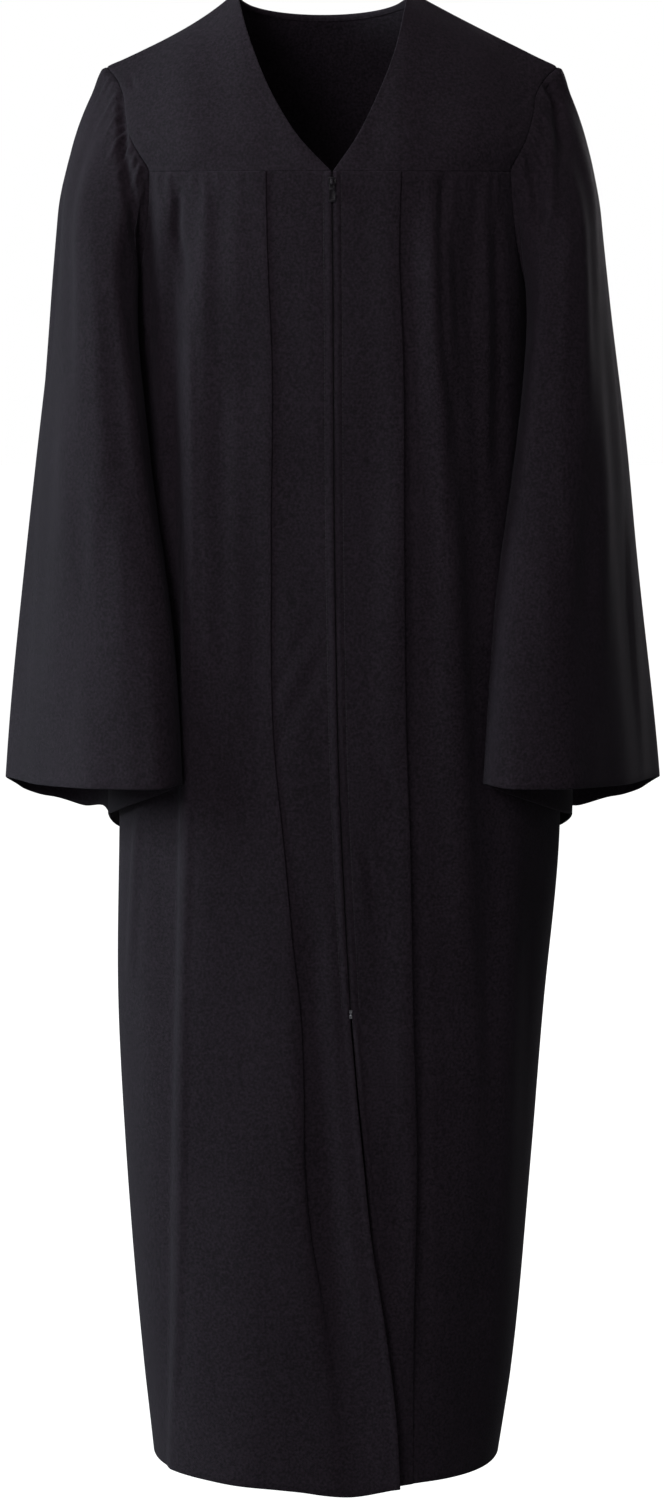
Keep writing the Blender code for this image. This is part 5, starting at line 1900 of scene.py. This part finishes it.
@dataclass
class Robe:
    """The whole robe: its cloth pieces, its sewing and its zip."""

    finishes: dict[str, Material]

    def dress(self, name: str, node: str, sheet: Sheet) -> Object:
        """Builds a cloth piece and puts it in its solid's place.

        Args:
            name: Of the piece.
            node: The CAD node that it stands for.
            sheet: Its form.

        Returns:
            The piece.
        """
        piece = sheet.build(name, self.finishes["matte_black_polyester"])
        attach(piece, "robe")
        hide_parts(node)
        LOG.info("%s: %d faces", name, len(piece.data.polygons))
        return piece

    def build_cloth(self) -> None:
        """Builds the yokes, fronts, back and sleeves, and the zip's two rows of stitches."""
        armholes = {side: Armhole(side) for side in Side}
        for side in Side:
            name = side.word
            yoke = FrontYoke(side, armholes[side], YOKE_CREASES[side], Ripples(21 + int(side)))
            node = f"yoke_front_{name}"
            self.dress(f"front_yoke_{name}", node, yoke.sheet())
            front = Front(
                side,
                EDGINGS[side],
                FRONT_FOLDS[side],
                FRONT_CREASES[side],
                FRONT_GATHERS[side],
                Ripples(31 + int(side), start=0.12),
            )
            self.dress(f"front_panel_{name}", f"front_{name}", front.sheet())
            thread = self.finishes["black_sewing_thread"]
            row = stitch_row(f"zip_stitches_{name}", *front.stitches, thread)
            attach(row, "robe")
            sleeve = Sleeve(
                side,
                armholes[side],
                SLEEVE_CREASES[side],
                SLEEVE_GATHERS[side],
                SLEEVE_FOLDS[side],
                Ripples(41 + int(side), height=0.0010),
            )
            self.dress(f"bell_sleeve_{name}", f"sleeve_{name}", sleeve.sheet())
        yoke = BackYoke(armholes, Ripples(51))
        self.dress("back_yoke", "yoke_back", yoke.sheet())
        back = Back(BACK_FLUTES, BACK_GATHERS, Ripples(61, height=0.0009))
        self.dress("back_panel", "back", back.sheet())

    def build_zip(self) -> None:
        """Builds the zip's teeth and metal, and finishes the tapes that the frame carries."""
        zipper = Zip(self.finishes)
        teeth, filler = zipper.build_teeth(), zipper.build_filler()
        for piece, body, slot, node in (
            (teeth, "robe", "zip_teeth", "zip_chain"),
            (filler, "robe", "zip_teeth", "zip_chain"),
            (zipper.build_slider(), "robe", "black_enamel", "zip_slider"),
            (zipper.build_tab(), "pull_tab", "black_enamel", "zip_pull_tab"),
            (zipper.build_stop(), "robe", "nickel", "zip_bottom_stop"),
        ):
            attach(piece, body)
            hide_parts(node)
            LOG.info("%s: %d faces", piece.name, len(piece.data.polygons))
        for name in ("zip_tape_right", "zip_tape_left"):
            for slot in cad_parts[name].material_slots:
                slot.material = self.finishes["black_woven_tape"]


@dataclass(frozen=True)
class Lamp:
    """A square soft light: where it stands, what it looks at, its size, power and colour."""

    name: str
    place: tuple[float, float, float]
    target: tuple[float, float, float]
    size: float
    power: float
    colour: tuple[float, float, float]

    def build(self) -> None:
        """Hangs the light."""
        data = bpy.data.lights.new(self.name, "AREA")
        data.shape = "SQUARE"
        data.size = self.size
        data.energy = self.power
        data.color = self.colour
        obj = linked(self.name, data)
        obj.location = self.place
        way = Vector(self.target) - Vector(self.place)
        obj.rotation_euler = way.to_track_quat("-Z", "Y").to_euler()


@dataclass(frozen=True)
class Studio:
    """The pale floor, the soft lights and the camera at the photograph's angle."""

    floor_height: float = -1.50
    floor_size: float = 40.0
    floor_glow: float = 0.94
    ambient: tuple[float, float] = (0.30, 0.06)  # from the wearer's right and left
    lamps: tuple[Lamp, ...] = (
        Lamp("key", (-3.95, -0.36, 0.8), (0.0, 0.0, -0.60), 2.2, 256.0, (0.84, 1.0, 1.0)),
        Lamp("window", (-1.5, -2.9, 0.9), (0.0, 0.0, -0.4), 1.2, 56.0, (0.98, 0.96, 0.98)),
        Lamp("fill", (-0.6, -4.0, 1.5), (0.0, 0.0, -0.5), 2.2, 9.0, (1.0, 0.91, 0.92)),
        Lamp("top", (0.9, -0.9, 2.2), (0.1, 0.0, -0.1), 1.2, 17.0, (1.0, 0.90, 0.92)),
        Lamp("bounce", (-0.3, -1.3, -1.42), (0.0, 0.0, -0.75), 1.4, 2.0, (1.0, 0.92, 0.95)),
        Lamp("back", (0.4, 4.0, 1.3), (0.0, 0.0, -0.5), 2.2, 46.0, (1.0, 0.94, 0.96)),
        Lamp("side", (1.9, 3.6, 0.9), (0.0, 0.0, -0.6), 1.6, 50.0, (1.0, 0.94, 0.98)),
    )
    pitch: float = 6.82  # degrees that the camera looks down
    camera_place: tuple[float, float, float] = (0.0, -4.0, -0.22)
    lens: float = 103.76

    def build(self) -> None:
        """Sets the studio up."""
        self.build_floor()
        self.build_world()
        for lamp in self.lamps:
            lamp.build()
        data = bpy.data.cameras.new("camera")
        data.lens = self.lens
        data.sensor_width = 36.0
        camera = linked("camera", data)
        camera.location = self.camera_place
        camera.rotation_euler = (math.radians(90 - self.pitch), 0, 0)
        bpy.context.scene.camera = camera
        bpy.context.scene.view_settings.view_transform = "Standard"

    def build_floor(self) -> None:
        """A plain pale floor with a soft, slightly uneven finish."""
        bpy.ops.object.select_all(action="DESELECT")
        bpy.ops.mesh.primitive_plane_add(size=self.floor_size, location=(0, 0, self.floor_height))
        floor = bpy.context.active_object
        floor.name = floor.data.name = "floor"
        material, w, shader = new_material("pale_floor")
        place = w.add("ShaderNodeTexCoord")
        values = {"Scale": 1.5, "Vector": place.outputs["Object"]}
        noise = w.settle(w.add("ShaderNodeTexNoise"), values)
        tone = w.blend(noise.outputs["Fac"], (0.18, 0.18, 0.18), (0.22, 0.22, 0.22))
        # The floor glows for the camera alone, more so away from the robe, and runs into the wall.
        away = w.add("ShaderNodeVectorMath", operation="LENGTH")
        w.join(place.outputs["Object"], away.inputs[0])
        glow = w.spread(away.outputs["Value"], 1.6, 3.4, self.floor_glow, 1.0)
        path = w.add("ShaderNodeLightPath")
        seen = w.math("MULTIPLY", glow, path.outputs["Is Camera Ray"])
        values = {"Base Color": tone, "Roughness": 0.9, "Emission Color": (1, 1, 1, 1)}
        w.settle(shader, {**values, "Emission Strength": seen})
        floor.data.materials.append(material)

    def build_world(self) -> None:
        """White behind the robe, and a dimmer light from all round that falls off to one side."""
        world = bpy.data.worlds.new("studio")
        world.use_nodes = True
        bpy.context.scene.world = world
        w = Wiring(world.node_tree)
        ground = world.node_tree.nodes["Background"]
        way = w.add("ShaderNodeSeparateXYZ")
        w.join(w.add("ShaderNodeTexCoord").outputs["Generated"], way.inputs[0])
        around = w.spread(way.outputs["X"], -1.0, 1.0, *self.ambient)
        path = w.add("ShaderNodeLightPath")
        strength = w.math("MAXIMUM", around, path.outputs["Is Camera Ray"])
        w.settle(ground, {"Color": (1, 1, 1, 1), "Strength": strength})


# How each front is laid.
EDGINGS = {
    Side.RIGHT: Edging(
        PleatLay.OUTER_OVER,
        lift=1.0,
        opening=1.0,
        layers=Ramp(1.0, 1.4, -0.66, 0.20),
        lip=Ramp(0.0009, 0.0017, -0.55, 0.25),
        lip_middle=0.0016,
        lip_half_width=0.0052,
        groove=Ramp(0.0001, 0.0001, 0.0, 1.0),
    ),
    Side.LEFT: Edging(
        PleatLay.CENTRE_OVER,
        lift=-0.4,
        opening=0.25,
        layers=Ramp(1.1, 1.8, -0.17, 0.12),
        lip=Ramp(0.0006, 0.0030, ZIP_END, 0.03),
        lip_middle=0.0030,
        lip_half_width=0.0034,
        groove=Ramp(0.00055, 0.0001, -0.22, 0.20),
    ),
}
# The fronts' long folds, each by a Fold's numbers.
FRONT_FOLDS = {
    Side.RIGHT: folds(
        (-0.086, -0.080, -0.166, -0.220, -0.560, 0.0009, 0.014),
        (-0.112, -0.112, -0.166, -0.200, -0.420, 0.0026, 0.012),
        (-0.121, -0.130, -0.166, -0.340, -0.960, 0.0110, 0.060, 0.34),
        (-0.115, -0.146, -0.340, -0.640, -2.100, 0.0082, 0.066, 0.16),
        (-0.152, -0.150, -0.166, -0.220, -0.620, 0.0048, 0.013),
        (-0.184, -0.160, -0.500, -0.820, -1.200, 0.0020, 0.018),
        (-0.090, -0.085, -0.900, -1.300, -1.700, 0.0030, 0.034),
    ),
    Side.LEFT: folds(
        (0.090, 0.146, -0.166, -0.260, -1.320, 0.0116, 0.032, 0.58),
        (0.122, 0.168, -0.166, -0.260, -1.000, -0.0030, 0.014),
        (0.136, 0.152, -0.166, -0.200, -0.620, 0.0020, 0.012),
        (0.152, 0.160, -0.166, -0.200, -0.420, 0.0016, 0.011),
        (0.180, 0.150, -0.600, -0.900, -1.500, 0.0050, 0.022),
    ),
}

# Creases as hung, by the front view: height, half widths and fades from end to end, and the path.
FRONT_CREASES = {
    Side.RIGHT: creases(
        (-0.0036, 0.0065, 0.0090, 0.25, 0.35,
         (-0.1355, -0.170), (-0.139, -0.205), (-0.139, -0.222), (-0.1345, -0.240), (-0.130, -0.290)),
        (-0.0015, 0.010, 0.012, 0.25, 0.35, (-0.056, -0.691), (-0.029, -0.636), (0.000, -0.582)),
        (-0.0011, 0.009, 0.010, 0.25, 0.35, (-0.058, -0.640), (-0.032, -0.590), (-0.004, -0.545)),
        (0.0030, 0.006, 0.008, 0.25, 0.35, (-0.176, -0.733), (-0.181, -0.821), (-0.187, -0.930)),
        (-0.0050, 0.021, 0.026, 0.20, 0.25,
         (-0.022, -0.780), (-0.018, -0.930), (-0.010, -1.060), (0.000, -1.170), (0.012, -1.290)),
        (0.0018, 0.0055, 0.0060, 0.08, 0.10,
         (-0.127, -0.270), (-0.125, -0.400), (-0.125, -0.560), (-0.1265, -0.660), (-0.131, -0.780),
         (-0.1345, -0.880), (-0.137, -1.040), (-0.1395, -1.140), (-0.143, -1.240), (-0.149, -1.340)),
        (-0.0030, 0.020, 0.018, 0.25, 0.30,
         (-0.104, -0.320), (-0.101, -0.440), (-0.099, -0.560), (-0.099, -0.680)),
    ),
    Side.LEFT: creases(
        (-0.0030, 0.0055, 0.0120, 0.15, 0.20,
         (0.0665, -0.240), (0.0705, -0.36), (0.0722, -0.50), (0.0760, -0.70), (0.0825, -0.95),
         (0.0840, -1.20), (0.0810, -1.33)),
        (-0.0042, 0.010, 0.013, 0.15, 0.30,
         (0.149, -0.200), (0.150, -0.300), (0.150, -0.400), (0.147, -0.480)),
        (-0.0060, 0.0065, 0.0110, 0.05, 0.50,
         (0.100, -0.163), (0.098, -0.224), (0.101, -0.308), (0.109, -0.383), (0.111, -0.530)),
        (-0.0014, 0.006, 0.009, 0.25, 0.35, (0.130, -0.165), (0.130, -0.220), (0.131, -0.270)),
        (-0.0014, 0.006, 0.008, 0.25, 0.35, (0.156, -0.168), (0.154, -0.220)),
        (-0.0014, 0.008, 0.010, 0.25, 0.35,
         (0.016, -0.753), (0.031, -0.777), (0.038, -0.826), (0.041, -0.845)),
        (-0.0008, 0.009, 0.011, 0.25, 0.35, (0.060, -0.760), (0.048, -0.700), (0.024, -0.650)),
    ),
}
FRONT_GATHERS = {
    Side.RIGHT: Gathers(
        (
            (-0.070, 0.0045, 0.0005, 0.040), (-0.084, 0.0060, 0.0006, 0.060),
            (-0.101, 0.0050, 0.0009, 0.045), (-0.113, 0.0045, 0.0010, 0.070),
            (-0.124, 0.0050, 0.0012, 0.055), (-0.146, 0.0045, 0.0013, 0.050),
            (-0.156, 0.0040, 0.0010, 0.035),
        )
    ),
    Side.LEFT: Gathers(
        (
            (0.072, 0.0050, 0.0005, 0.045), (0.087, 0.0055, 0.0009, 0.060),
            (0.109, 0.0050, 0.0013, 0.060), (0.121, 0.0045, 0.0012, 0.050),
            (0.139, 0.0045, 0.0014, 0.045), (0.148, 0.0040, 0.0012, 0.055),
            (0.161, 0.0030, 0.0010, 0.030),
        )
    ),
}
# Flutes of the back: degrees from its middle, half width in degrees, the drop over which each
# rises below the yoke, and its height there and at the hem.
BACK_FLUTES = (
    (-70.0, 13.0, 0.05, 0.0026, 0.0050), (-50.0, 14.0, 0.03, 0.0036, 0.0150),
    (-27.0, 14.0, 0.05, 0.0030, 0.0110), (-6.0, 13.0, 0.04, 0.0034, 0.0160),
    (16.0, 15.0, 0.06, 0.0028, 0.0120), (37.0, 12.0, 0.03, 0.0036, 0.0140),
    (58.0, 15.0, 0.05, 0.0030, 0.0100),
)
BACK_GATHERS = Gathers.scattered(7, -0.158, 0.158, 34, (0.0042, 0.0015, 0.075))

YOKE_CREASES = {
    Side.RIGHT: creases(
        (-0.0016, 0.006, 0.006, 0.3, 0.4, (-0.186, -0.076), (-0.178, -0.093)),
        (-0.0009, 0.005, 0.004, 0.2, 0.5, (-0.176, -0.128), (-0.160, -0.138)),
        (-0.0009, 0.004, 0.004, 0.2, 0.5, (-0.168, -0.146), (-0.152, -0.150)),
    ),
    Side.LEFT: creases(
        (-0.0014, 0.006, 0.005, 0.2, 0.5, (0.182, -0.094), (0.168, -0.104)),
        (-0.0012, 0.005, 0.005, 0.2, 0.5, (0.174, -0.122), (0.154, -0.130)),
        (-0.0010, 0.005, 0.004, 0.2, 0.5, (0.166, -0.142), (0.146, -0.146)),
    ),
}
# Long folds down each sleeve: degrees from the outermost line, half width and height at the cuff.
SLEEVE_FOLDS = {
    Side.RIGHT: ((106.0, 34.0, 0.0060), (250.0, 26.0, 0.0060), (300.0, 22.0, -0.0040)),
    Side.LEFT: ((66.0, 22.0, 0.0020), (250.0, 26.0, 0.0060), (300.0, 22.0, -0.0040)),
}
SLEEVE_CREASES = {
    Side.RIGHT: creases(
        (-0.0056, 0.0060, 0.0100, 0.14, 0.40,
         (-0.1900, -0.082), (-0.191, -0.112), (-0.188, -0.153), (-0.178, -0.204), (-0.165, -0.280)),
        (0.0018, 0.012, 0.018, 0.30, 0.45,
         (-0.186, -0.215), (-0.182, -0.290), (-0.176, -0.380), (-0.168, -0.470)),
        (0.0022, 0.016, 0.030, 0.25, 0.35, (-0.232, -0.30), (-0.240, -0.46), (-0.262, -0.70)),
        (-0.0018, 0.014, 0.026, 0.25, 0.35, (-0.196, -0.40), (-0.206, -0.56), (-0.216, -0.74)),
    ),
    Side.LEFT: creases(
        (-0.0066, 0.006, 0.010, 0.12, 0.45,
         (0.192, -0.078), (0.2045, -0.099), (0.2085, -0.132), (0.2105, -0.165)),
        (0.0040, 0.007, 0.011, 0.25, 0.35, (0.1945, -0.108), (0.1975, -0.146), (0.1950, -0.240)),
        (-0.0042, 0.006, 0.010, 0.25, 0.35, (0.174, -0.140), (0.1835, -0.176), (0.186, -0.235)),
        (0.0020, 0.016, 0.030, 0.25, 0.35, (0.236, -0.30), (0.246, -0.48), (0.268, -0.70)),
        (-0.0018, 0.014, 0.026, 0.25, 0.35, (0.196, -0.42), (0.210, -0.58), (0.220, -0.74)),
    ),
}
# Puckers round each sleeve head: degrees from the outermost line, front above 0 and back below.
FRONT_HEAD = (
    (4.0, 3.2, 0.0010, 0.030), (13.0, 2.6, 0.0013, 0.042), (21.0, 3.0, 0.0008, 0.022),
    (31.0, 3.4, 0.0012, 0.055), (39.5, 2.4, 0.0008, 0.024), (47.0, 3.2, 0.0013, 0.040),
    (57.0, 2.4, 0.0015, 0.022), (64.5, 3.4, 0.0026, 0.045), (73.0, 2.2, 0.0019, 0.026),
    (80.0, 3.6, 0.0027, 0.040), (89.0, 2.4, 0.0018, 0.024), (97.0, 3.4, 0.0027, 0.048),
    (109.0, 3.8, 0.0013, 0.028),
)
SLEEVE_GATHERS = {
    side: Gathers(FRONT_HEAD + Gathers.scattered(seed, -118, -2, 14, (2.9, 0.0015, 0.038)).rows)
    for side, seed in ((Side.RIGHT, 11), (Side.LEFT, 12))
}


def main() -> None:
    """Builds the robe and its studio."""
    logging.basicConfig(level=logging.INFO, format="%(name)s: %(message)s")
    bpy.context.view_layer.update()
    effects = Effects()
    robe = Robe({finish.name: finish.make(effects) for finish in FINISHES})
    robe.build_cloth()
    robe.build_zip()
    Studio().build()
    LOG.info("size written")


if __name__ == "__main__":
    main()
